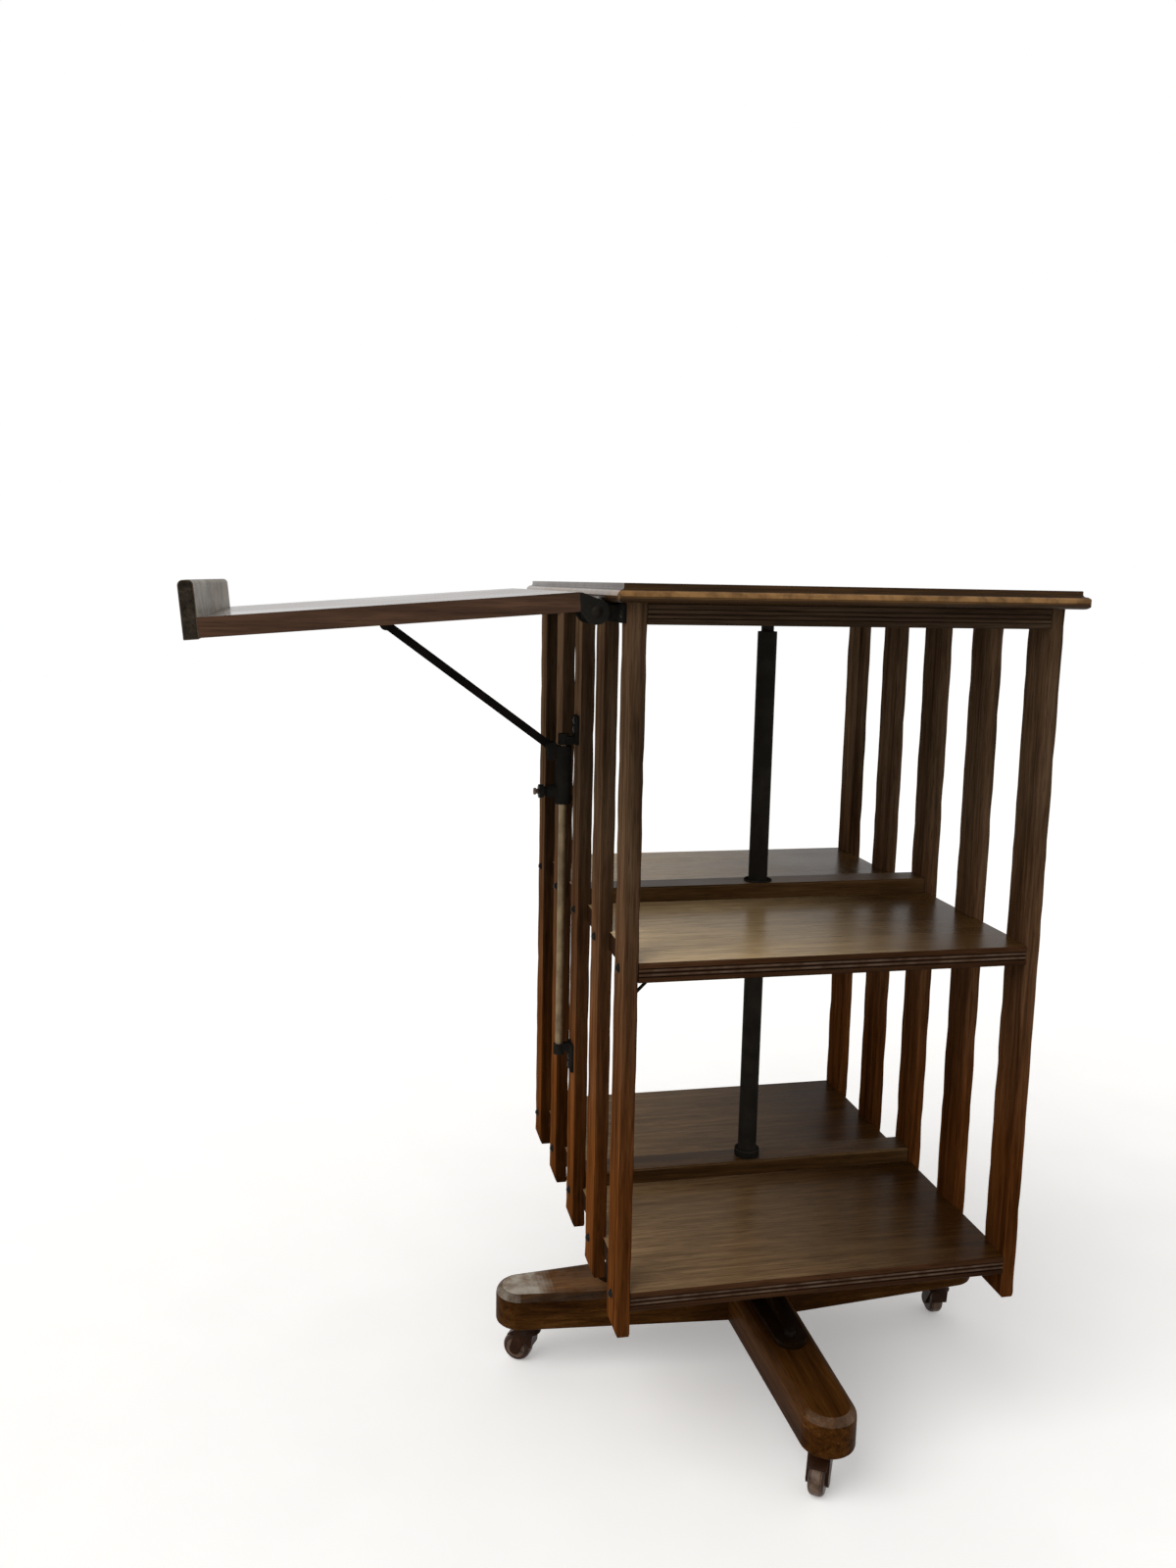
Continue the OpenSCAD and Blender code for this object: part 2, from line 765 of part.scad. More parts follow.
module guide_bush() {
    color(iron) difference() {
        union() {
            translate([0, 0, bottom_under]) cylinder(d = bush_body, h = shelf_thickness + strip_height);
            translate([0, 0, bottom_top + strip_height]) cylinder(d = bush_diameter, h = bush_rise);
        }
        translate([0, 0, bottom_under - 1])
            cylinder(r = pole_diameter / 2 + running_fit,
                h = shelf_thickness + strip_height + bush_rise + 2);
    }
}

// A short strut between the front left slat and the middle shelf
module corner_brace() {
    leg = 14;
    wire = 3;
    pad = 9;
    pad_thickness = 1.2;
    color(iron) translate([-slat_inner, slat_row_y[0], middle_under]) intersection() {
        union() {
            translate([pad_thickness, 0, -leg - pad_thickness]) rotate([0, 45, 0])
                translate([0, 0, -wire]) cylinder(d = wire, h = leg * sqrt(2) + 2 * wire);
            translate([0, -pad / 2, -leg - pad / 2]) cube([pad_thickness, pad, pad]);
            translate([leg - pad / 2, -pad / 2, -pad_thickness]) cube([pad, pad, pad_thickness]);
        }
        translate([0, -pad, -2 * leg]) cube([2 * leg, 2 * pad, 2 * leg]);
    }
}

// Base arms, half-lapped at the middle
module arm_blank(root) {
    hull() {
        for (end = [-1, 1]) translate([end * (base_span - arm_tip) / 2, 0, 0])
            rotate_extrude($fn = 40) polygon(arm_half_section(arm_tip / 2));
        rotate([90, 0, 90]) linear_extrude(2, center = true) polygon(concat(
            arm_half_section(root / 2),
            [for (p = reversed(arm_half_section(root / 2))) [-p[0], p[1]]]));
    }
}

// The half-lap's notch, as wide as the other arm, which tapers from its root
module lap_cut(root, from) {
    length = (base_span - arm_tip) / 2;
    half = root / 2 + 2 * wood_gap;
    end = arm_tip / 2 + 2 * wood_gap;
    translate([0, 0, from]) linear_extrude(arm_thickness) polygon([
        [-length, end], [0, half], [length, end], [length, -end], [0, -half], [-length, -end]
    ]);
}

// Holes that both arms share: the pole's stud, the bolts and the caster sockets
module arm_holes(headings) {
    translate([0, 0, caster_height - 1])
        cylinder(r = stud_diameter / 2 + wood_gap, h = arm_thickness + 2);
    for (heading = headings) rotate(heading) {
        translate([bolt_radius, 0, tongue_top - bolt_length])
            cylinder(r = bolt_diameter / 2 + seat_fit, h = bolt_length);
        translate([stem_radius, 0, caster_height - 1])
            cylinder(r = stem_socket / 2 + seat_fit, h = socket_depth + 1);
    }
}

module base_arm_side() {
    color(oak) difference() {
        arm_blank(side_arm_root);
        rotate(90) lap_cut(arm_root, arm_middle - wood_gap);
        arm_holes([right_arm, left_arm]);
    }
}

module base_arm_front() {
    square_reach = side_arm_root / 2 - arm_round - 3;
    square_half = arm_root / 2 - 1;
    color(oak) difference() {
        union() {
            rotate(90) arm_blank(arm_root);
            translate([-square_half, -square_reach, arm_middle])
                cube([2 * square_half, 2 * square_reach, arm_top - arm_middle]);
        }
        lap_cut(side_arm_root, arm_middle - arm_thickness);
        arm_holes([front_arm, back_arm]);
    }
}

// One tongue of the foot plate, seen from above, along +X
module tongue_outline() {
    tip_centre = spider_reach - spider_tip / 2;
    polygon([
        [0, -spider_root / 2], [tip_centre, -spider_tip / 2],
        [tip_centre, spider_tip / 2], [0, spider_root / 2]
    ]);
    translate([tip_centre, 0]) circle(d = spider_tip);
}

module tongue_rib() {
    rib_end = bolt_radius - bolt_head;
    rib_top = arm_top + hub_height - rib_below_hub;
    plate_between(-rib_thickness / 2, rib_thickness / 2) polygon([
        [0, arm_top], [rib_end, arm_top], [rib_end, tongue_top + rib_low],
        [hub_diameter / 2, rib_top], [0, rib_top]
    ]);
}

module pole_spider() {
    color(iron) difference() {
        union() {
            translate([0, 0, arm_top]) cylinder(d = hub_diameter, h = hub_height);
            for (heading = [right_arm, back_arm, left_arm, front_arm]) rotate(heading) {
                translate([0, 0, arm_top]) linear_extrude(spider_thickness) tongue_outline();
                tongue_rib();
            }
        }
        translate([0, 0, tongue_top]) cylinder(r = pole_diameter / 2 + seat_fit, h = hub_height);
        translate([0, 0, arm_top - 1])
            cylinder(r = stud_diameter / 2 + seat_fit, h = spider_thickness + 2);
        for (heading = [right_arm, back_arm, left_arm, front_arm])
            rotate(heading) translate([bolt_radius, 0, arm_top - 1])
                cylinder(r = bolt_diameter / 2 + seat_fit, h = spider_thickness + 2);
    }
}

module spider_bolts() {
    color(steel) for (heading = [right_arm, back_arm, left_arm, front_arm])
        rotate(heading) translate([bolt_radius, 0, tongue_top]) {
            cylinder(d = bolt_head, h = bolt_head_height, $fn = 6);
            translate([0, 0, -bolt_length]) cylinder(d = bolt_diameter, h = bolt_length);
        }
}

// Casters, each drawn with its stem on the Z axis and its wheel towards +X
module at_caster(arm, heading) {
    translate([stem_radius * cos(arm), stem_radius * sin(arm), 0]) rotate(heading) children();
}

module caster_plate(arm, heading) {
    color(iron) at_caster(arm, heading) difference() {
        union() {
            translate([0, 0, plate_under]) cylinder(d = plate_diameter, h = plate_thickness);
            translate([0, 0, caster_height]) cylinder(d = stem_socket, h = socket_depth);
        }
        translate([0, 0, plate_under - 1])
            cylinder(r = stem_diameter / 2 + running_fit,
                h = plate_thickness + socket_depth - cup_wall + 1);
    }
}

module caster_fork(arm, heading) {
    color(iron) at_caster(arm, heading) {
        translate([0, 0, crown_top]) cylinder(r = crown_top_radius, h = plate_under - crown_top);
        translate([0, 0, crown_under])
            cylinder(r1 = crown_radius, r2 = crown_top_radius, h = crown_top - crown_under);
        translate([0, 0, crown_top]) cylinder(d = stem_diameter, h = stem_top - crown_top);
        for (side = [-1, 1]) mirror([0, side < 0 ? 1 : 0, 0]) fork_cheek();
        fork_web();
        rod_y(caster_trail, wheel_radius, axle_diameter / 2, -cheek_outer, cheek_outer);
    }
}

// One cheek, from the crown down to the axle
module fork_cheek() {
    plate_between(cheek_inner, cheek_outer) {
        polygon([
            [-cheek_back, cheek_top], [cheek_front, cheek_top],
            [caster_trail + cheek_foot_radius, wheel_radius],
            [caster_trail - cheek_foot_radius, wheel_radius]
        ]);
        translate([caster_trail, wheel_radius]) circle(cheek_foot_radius);
    }
}

// Web that joins the two cheeks over the wheel
module fork_web() {
    plate_between(-cheek_inner - 1, cheek_inner + 1) difference() {
        polygon([
            [-cheek_back, cheek_top], [cheek_front, cheek_top],
            [caster_trail + web_reach, wheel_radius + web_inner - 1.5],
            [caster_trail, wheel_radius], [2 - cheek_back, wheel_radius + 4.5]
        ]);
        translate([caster_trail, wheel_radius]) circle(web_inner);
    }
}

module caster_wheel(arm, heading) {
    half = wheel_width / 2;
    bore = axle_diameter / 2 + running_fit;
    color(caster_brown) at_caster(arm, heading)
        translate([caster_trail, 0, wheel_radius]) rotate([90, 0, 0])
            rotate_extrude() polygon(concat(
                [[bore, -half]],
                arc(wheel_radius - wheel_round, wheel_round - half, wheel_round, -90, 0, 5),
                arc(wheel_radius - wheel_round, half - wheel_round, wheel_round, 0, 90, 5),
                [[bore, half]]));
}

// Book rest, on its own axes: the hinge pins on Y, the board running towards -X
module rest_board() {
    color(oak) on_rest() difference() {
        plate_between(-rest_half, rest_half) polygon([
            [-rest_start - rest_arris, rest_above], [-rest_start, rest_above + rest_arris],
            [-rest_start, rest_top - rest_arris], [-rest_start - rest_arris, rest_top],
            [-rest_end, rest_top], [-rest_end, rest_above]
        ]);
        rest_screw_places() small_screw_hole();
    }
}

module rest_ledge() {
    color(dark_oak) on_rest() plate_between(-rest_half, rest_half) polygon(concat(
        [[-rest_end, rest_above - ledge_drop]],
        arc(-rest_end - ledge_round, ledge_top - ledge_round, ledge_round, 0, 90, 8),
        arc(-ledge_end + ledge_round, ledge_top - ledge_round, ledge_round, 90, 180, 8),
        [[-ledge_end, rest_above - ledge_drop]]));
}

// Where screws go into the board: through the two leaves and through the lug's foot
module rest_screw_places() {
    for (side = [front, back], place = [leaf_screw_in, leaf_width - leaf_screw_in])
        translate([-rest_start, side * (rest_half - place), leaf_screw_z])
            rotate([0, -90, 0]) children();
    for (end = [-1, 1])
        translate([-lug_along + end * (lug_foot_length / 2 - lug_screw_in), 0, rest_above]) children();
}
module rest_screws() {
    color(iron) on_rest() {
        for (side = [front, back], place = [leaf_screw_in, leaf_width - leaf_screw_in])
            translate([leaf_thickness - rest_start, side * (rest_half - place), leaf_screw_z])
                rotate([0, -90, 0]) domed_screw(small_screw_head, small_screw_dome,
                    small_screw_shank, small_screw_length + leaf_thickness);
        for (end = [-1, 1])
            translate([-lug_along + end * (lug_foot_length / 2 - lug_screw_in), 0,
                rest_above - lug_foot_thickness])
                domed_screw(small_screw_head, small_screw_dome, small_screw_shank,
                    small_screw_length + lug_foot_thickness);
    }
}

// A hinge's moving leaf, drawn for the back and mirrored to the front
module hinge_leaf(side) {
    ear_top_angle = 60;
    ear_low_angle = 235;
    color(iron) on_rest() mirror([0, side == front ? 1 : 0, 0]) difference() {
        union() {
            translate([-rest_start, rest_half - leaf_width, leaf_low])
                cube([leaf_thickness, leaf_width, leaf_height]);
            for (outer = [rest_half, rest_half - hinge_width + ear_thickness])
                plate_between(outer - ear_thickness, outer) {
                    circle(ear_radius);
                    polygon([
                        [-rest_start, leaf_low], [-rest_start, leaf_low + leaf_height],
                        [-rest_start + leaf_thickness, leaf_low + leaf_height],
                        ear_radius * [cos(ear_top_angle), sin(ear_top_angle)], [0, 0],
                        ear_radius * [cos(ear_low_angle), sin(ear_low_angle)]
                    ]);
                }
        }
        rod_y(0, 0, hinge_pin / 2 + seat_fit, 0, rest_width);
        for (place = [leaf_screw_in, leaf_width - leaf_screw_in])
            translate([1 - rest_start + leaf_thickness, rest_half - place, leaf_screw_z])
                rotate([0, -90, 0])
                    cylinder(r = small_screw_shank / 2 + seat_fit, h = leaf_thickness + 2);
    }
}

module hinge_pins() {
    color(steel) on_rest() for (side = [front, back]) mirror([0, side == front ? 1 : 0, 0]) {
        rod_y(0, 0, hinge_pin / 2, rest_half - hinge_width, rest_half);
        translate([0, rest_half, 0]) rotate([90, 0, 0])
            domed_screw(hinge_pin_head, hinge_pin_dome, hinge_pin, 1);
    }
}

// A hinge's fixed bracket, from the slats to the knuckle between the ears
module hinge_bracket(side) {
    plate_from = slat_row_y[3];
    plate_to = slat_row_y[4];
    knuckle_to = rest_half - ear_thickness - iron_gap;
    knuckle_from = rest_half - hinge_width + ear_thickness + iron_gap;
    color(iron) mirror([0, side == front ? 1 : 0, 0]) difference() {
        union() {
            translate([-slat_outer - bracket_thickness, plate_from, bracket_foot])
                cube([bracket_thickness, plate_to - plate_from, bracket_height]);
            translate([pivot_x, knuckle_from, pivot_z - bracket_arm_height / 2])
                cube([pivot_out - bracket_thickness + 1, knuckle_to - knuckle_from, bracket_arm_height]);
            rod_y(pivot_x, pivot_z, knuckle_radius, knuckle_from, knuckle_to);
        }
        rod_y(pivot_x, pivot_z, hinge_pin / 2 + running_fit, knuckle_from - 1, knuckle_to + 1);
        left_side_screw_places() translate([0, 0, -bracket_thickness - 1])
            cylinder(r = small_screw_shank / 2 + seat_fit, h = bracket_thickness + 2);
    }
}
// Screws on the left side, pointing into the slats: hinge brackets, then rod brackets
module left_side_screw_places() {
    for (side = [front, back], y = [slat_row_y[3] + bracket_screw_in, slat_row_y[4] - bracket_screw_in])
        translate([-slat_outer, side * y, bracket_foot + bracket_height / 2])
            rotate([0, 90, 0]) children();
    for (height = rod_screw_heights) {
        translate([-slat_outer, 0, rod_top + height]) rotate([0, 90, 0]) children();
        translate([-slat_outer, 0, rod_foot - height]) rotate([0, 90, 0]) children();
    }
}

module fixing_screws() {
    color(iron) {
        left_side_screw_places() translate([0, 0, -bracket_thickness])
            domed_screw(small_screw_head, small_screw_dome, small_screw_shank,
                small_screw_length + bracket_thickness);
        socket_screw_places() translate([0, 0, -socket_flange_thickness])
            domed_screw(small_screw_head, small_screw_dome, small_screw_shank,
                small_screw_length + socket_flange_thickness);
    }
}

// Guide rod and its two brackets
module guide_rod() {
    color(steel) translate([rod_x, 0, rod_foot]) cylinder(r = rod_radius, h = rod_length);
}

// A rod bracket with the end of the rod at the origin's height and its flange above
module rod_bracket() {
    difference() {
        union() {
            translate([rod_x, 0, -rod_arm_height]) cylinder(d = rod_boss, h = rod_arm_height + rod_cap);
            translate([rod_x, -rod_arm_width / 2, -rod_arm_height])
                cube([rod_out - bracket_thickness + 1, rod_arm_width, rod_arm_height]);
            translate([-slat_outer - bracket_thickness, -rod_flange_width / 2, -rod_arm_height])
                cube([bracket_thickness, rod_flange_width, rod_arm_height + rod_flange_rise]);
        }
        translate([rod_x, 0, -rod_arm_height - 1])
            cylinder(r = rod_radius + seat_fit, h = rod_arm_height + 1);
        for (height = rod_screw_heights)
            translate([-slat_outer - bracket_thickness - 1, 0, height]) rotate([0, 90, 0])
                cylinder(r = small_screw_shank / 2 + seat_fit, h = bracket_thickness + 2);
    }
}

module rod_bracket_upper() {
    color(iron) translate([0, 0, rod_top]) rod_bracket();
}

module rod_bracket_lower() {
    color(iron) translate([0, 0, rod_foot]) mirror([0, 0, 1]) rod_bracket();
}

// Lug under the book rest, its pin, and the stay
module stay_lug() {
    color(iron) on_rest() difference() {
        union() {
            plate_between(lug_face - lug_thickness, lug_face) {
                translate([-lug_along, -lug_below]) circle(stay_eye);
                polygon([
                    [-lug_along - stay_eye, -lug_below], [-lug_along + stay_eye, -lug_below],
                    [-lug_along + stay_eye * 1.5, rest_above - lug_foot_thickness / 2],
                    [-lug_along - stay_eye * 1.5, rest_above - lug_foot_thickness / 2]
                ]);
            }
            translate([-lug_along - lug_foot_length / 2, lug_face - lug_foot_width,
                rest_above - lug_foot_thickness])
                cube([lug_foot_length, lug_foot_width, lug_foot_thickness]);
        }
        rod_y(-lug_along, -lug_below, stay_pin_diameter / 2 + seat_fit, 0, stay_offset);
        for (end = [-1, 1])
            translate([-lug_along + end * (lug_foot_length / 2 - lug_screw_in), 0,
                rest_above - lug_foot_thickness - 1])
                cylinder(r = small_screw_shank / 2 + seat_fit, h = lug_foot_thickness + 2);
    }
}

module stay_pin() {
    near = lug_face - lug_thickness;
    far = stay_offset + stay_thickness + iron_gap;
    color(iron) {
        rod_y(lug_x, lug_z, stay_pin_diameter / 2, near, far);
        rod_y(lug_x, lug_z, stay_pin_head / 2, near - stay_pin_dome, near);
        translate([lug_x, far, lug_z]) rotate([90, 0, 0])
            domed_screw(stay_pin_head, stay_pin_dome, stay_pin_diameter, 1);
    }
}

module stay() {
    angle = atan2(collar_z - lug_z, collar_x - lug_x);
    color(iron) {
        difference() {
            translate([lug_x, 0, lug_z]) rotate([0, -angle, 0])
                plate_between(stay_offset, stay_offset + stay_thickness) {
                    circle(stay_eye);
                    translate([stay_length, 0]) circle(stay_eye);
                    translate([0, -stay_height / 2]) square([stay_length, stay_height]);
                }
            rod_y(lug_x, lug_z, stay_pin_diameter / 2 + running_fit, 0, stay_offset + stay_thickness + 1);
        }
        translate([collar_x, stay_offset + stay_thickness, collar_z]) rotate([90, 0, 0])
            domed_screw(stay_pin_head, stay_pin_dome, stay_pin_diameter, 1);
    }
}

// Collar that slides on the rod, with a slotted ear and a boss for the thumbscrew
module collar() {
    sleeve_top = collar_z + sleeve_above;
    ear_outer = rod_x - collar_ear_out;
    rivet_radius = 2.5;
    color(iron) difference() {
        union() {
            translate([rod_x, 0, sleeve_top - sleeve_length])
                cylinder(d = sleeve_diameter, h = sleeve_length);
            translate([ear_outer, -collar_ear_width / 2, collar_z - collar_neck])
                cube([collar_ear_out, collar_ear_width, collar_neck]);
            rod_y(collar_x, collar_z, stay_eye, -collar_ear_width / 2, lug_face);
            rod_out_x(thumb_z, thumb_boss / 2, rod_x, rod_x - thumb_boss_out);
            translate([rod_x + sleeve_diameter / 2 - 1, 0, sleeve_top - sleeve_length + 2 * rivet_radius])
                rotate([0, 90, 0]) cylinder(r = rivet_radius, h = 3);
        }
        translate([rod_x, 0, sleeve_top - sleeve_length - 1])
            cylinder(r = rod_radius + running_fit, h = sleeve_length + 2 * stay_eye);
        rod_out_x(thumb_z, thumb_diameter / 2 + running_fit, rod_x, rod_x - thumb_boss_out - 1);
    }
}

module thumbscrew() {
    shank_from = rod_x - rod_radius - iron_gap / 2;
    boss_face = rod_x - thumb_boss_out;
    shoulder_face = boss_face - iron_gap;
    disc_face = shoulder_face - thumb_shoulder_thickness;
    disc_end = disc_face - thumb_disc_thickness;
    tip_end = disc_end - thumb_tip_out;
    color(iron) {
        rod_out_x(thumb_z, thumb_diameter / 2, shank_from, tip_end + 1);
        rod_out_x(thumb_z, thumb_shoulder / 2, shoulder_face, disc_face);
        rod_out_x(thumb_z, thumb_disc / 2, disc_face, disc_end);
        rod_out_x(thumb_z, thumb_tip / 2, tip_end + thumb_tip_out / 2, tip_end);
    }
}

placed() base_arm_side();
placed() base_arm_front();
placed() pole_spider();
placed() spider_bolts();
placed() pole();
placed() pole_nut();
placed() caster_plate(front_arm, front_heading);  // caster_plate_front
placed() caster_plate(right_arm, right_heading);  // caster_plate_right
placed() caster_plate(back_arm, back_heading);  // caster_plate_back
placed() caster_plate(left_arm, left_heading);  // caster_plate_left
placed() caster_fork(front_arm, front_heading);  // caster_fork_front
placed() caster_fork(right_arm, right_heading);  // caster_fork_right
placed() caster_fork(back_arm, back_heading);  // caster_fork_back
placed() caster_fork(left_arm, left_heading);  // caster_fork_left
placed() caster_wheel(front_arm, front_heading);  // caster_wheel_front
placed() caster_wheel(right_arm, right_heading);  // caster_wheel_right
placed() caster_wheel(back_arm, back_heading);  // caster_wheel_back
placed() caster_wheel(left_arm, left_heading);  // caster_wheel_left
placed() top_board();
placed() sub_top();
placed() middle_shelf();
placed() bottom_shelf();
placed() middle_strip();
placed() bottom_strip();
placed() slat(left, 1);  // slat_left_1
placed() slat(left, 2);  // slat_left_2
placed() slat(left, 3);  // slat_left_3
placed() slat(left, 4);  // slat_left_4
placed() slat(left, 5);  // slat_left_5
placed() slat(right, 1);  // slat_right_1
placed() slat(right, 2);  // slat_right_2
placed() slat(right, 3);  // slat_right_3
placed() slat(right, 4);  // slat_right_4
placed() slat(right, 5);  // slat_right_5
placed() slat_screws();
placed() top_screws();
placed() pivot_socket();
placed() pole_ring();
placed() guide_bush();
placed() corner_brace();
placed() hinge_bracket(front);  // hinge_bracket_front
placed() hinge_bracket(back);  // hinge_bracket_back
placed() guide_rod();
placed() rod_bracket_upper();
placed() rod_bracket_lower();
placed() fixing_screws();
placed() rest_board();
placed() rest_ledge();
placed() hinge_leaf(front);  // hinge_leaf_front
placed() hinge_leaf(back);  // hinge_leaf_back
placed() hinge_pins();
placed() stay_lug();
placed() stay_pin();
placed() rest_screws();
placed() stay();
placed() collar();
placed() thumbscrew();
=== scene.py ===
"""Looks of the revolving bookcase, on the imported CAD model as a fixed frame."""
import json
import math
import bmesh
import bpy
from mathutils import Matrix, Vector, noise


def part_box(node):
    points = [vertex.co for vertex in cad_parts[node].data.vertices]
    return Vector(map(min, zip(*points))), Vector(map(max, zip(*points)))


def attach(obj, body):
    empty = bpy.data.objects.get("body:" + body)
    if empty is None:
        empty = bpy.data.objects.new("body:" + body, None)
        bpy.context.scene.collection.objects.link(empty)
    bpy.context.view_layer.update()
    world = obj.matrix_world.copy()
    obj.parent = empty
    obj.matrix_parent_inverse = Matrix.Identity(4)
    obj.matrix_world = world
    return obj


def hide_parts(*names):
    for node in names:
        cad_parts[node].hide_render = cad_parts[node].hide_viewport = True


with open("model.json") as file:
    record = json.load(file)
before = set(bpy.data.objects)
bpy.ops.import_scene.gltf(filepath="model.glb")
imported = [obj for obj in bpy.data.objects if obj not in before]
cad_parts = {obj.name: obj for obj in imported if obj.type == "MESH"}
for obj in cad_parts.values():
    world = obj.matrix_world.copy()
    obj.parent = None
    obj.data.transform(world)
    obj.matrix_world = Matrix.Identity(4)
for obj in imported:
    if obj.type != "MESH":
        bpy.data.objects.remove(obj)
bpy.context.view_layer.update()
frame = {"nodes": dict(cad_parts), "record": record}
nodes = frame["nodes"]
bodies = {node: body for body, listed in frame["record"]["behaviour"]["bodies"].items()
          for node in listed}
MM = 0.001


# Shader helpers


class Net:
    """A material's node tree, with short calls to add a node and join its inputs."""

    def __init__(self, name):
        self.material = bpy.data.materials.new(name)
        self.material.use_nodes = True
        self.tree = self.material.node_tree
        self.tree.nodes.clear()
        self.out = self.tree.nodes.new("ShaderNodeOutputMaterial")
        self.shader = self.tree.nodes.new("ShaderNodeBsdfPrincipled")
        self.tree.links.new(self.shader.outputs[0], self.out.inputs[0])

    def put(self, socket, value):
        if isinstance(value, bpy.types.NodeSocket):
            self.tree.links.new(value, socket)
        else:
            socket.default_value = value

    def add(self, kind, inputs=None, **settings):
        node = self.tree.nodes.new("ShaderNode" + kind)
        for key, value in settings.items():
            setattr(node, key, value)
        for key, value in (inputs or {}).items():
            self.put(node.inputs[key], value)
        return node

    def set(self, **inputs):
        """Fills inputs of the shader: a link where a socket is given, or else a plain value."""
        for key, value in inputs.items():
            self.put(self.shader.inputs[key.replace("_", " ")], value)

    def maths(self, operation, a, b=0.0, clamp=False):
        node = self.add("Math", operation=operation, use_clamp=clamp)
        self.put(node.inputs[0], a)
        self.put(node.inputs[1], b)
        return node.outputs[0]

    def blur(self, place, scale, detail=2.0, rough=0.5, distort=0.0):
        node = self.add("TexNoise", {"Vector": place, "Scale": scale, "Detail": detail,
                                     "Roughness": rough, "Distortion": distort})
        return node.outputs["Fac"]

    def ramp(self, value, stops):
        node = self.add("ValToRGB", {"Fac": value})
        bits = node.color_ramp.elements
        while len(bits) < len(stops):
            bits.new(0.5)
        for bit, (at, colour) in zip(bits, stops):
            bit.position = at
            bit.color = rgb(*colour)
        return node.outputs["Color"]

    def grey(self, value, low, high, dark=0.0, light=1.0):
        node = self.add("MapRange", {"Value": value, "From Min": low, "From Max": high,
                                     "To Min": dark, "To Max": light}, clamp=True)
        return node.outputs["Result"]

    def mix(self, factor, a, b, blend="MIX"):
        node = self.add("Mix", data_type="RGBA", blend_type=blend)
        for index, value in ((0, factor), (6, a), (7, b)):
            self.put(node.inputs[index], value)
        return node.outputs[2]

    def bump(self, height, strength, distance, normal=None):
        node = self.add("Bump", {"Height": height, "Strength": strength, "Distance": distance})
        if normal is not None:
            self.put(node.inputs["Normal"], normal)
        return node.outputs["Normal"]

    def place(self, scale=(1, 1, 1), move=(0, 0, 0)):
        where = self.add("TexCoord").outputs["Object"]
        node = self.add("Mapping", {"Vector": where, "Scale": scale, "Location": move})
        return node.outputs["Vector"]

    def attribute(self, name):
        return self.add("Attribute", attribute_name=name).outputs["Fac"]


def rgb(*values):
    return (*values, 1.0)


def scaled(colour, factor):
    return rgb(*[factor * v for v in colour])


# Materials

# Scales of the wood's patterns, per metre
STREAKS, RINGS, FIBRES, PORES, CLOUDS, SPOTS = 34, 150, 620, 1700, 5.5, 60
# How much the grain and the pores are drawn out along the wood
GRAIN_STRETCH, PORE_STRETCH = 0.045, 0.02
# How far each wood's pattern moves for one unit of its seed
SEED_SHIFT = (1.37, 0.71, 2.13)
VARNISH_TINT = rgb(1.0, 0.86, 0.68)
SHEEN_TINT = rgb(1.0, 0.72, 0.42)


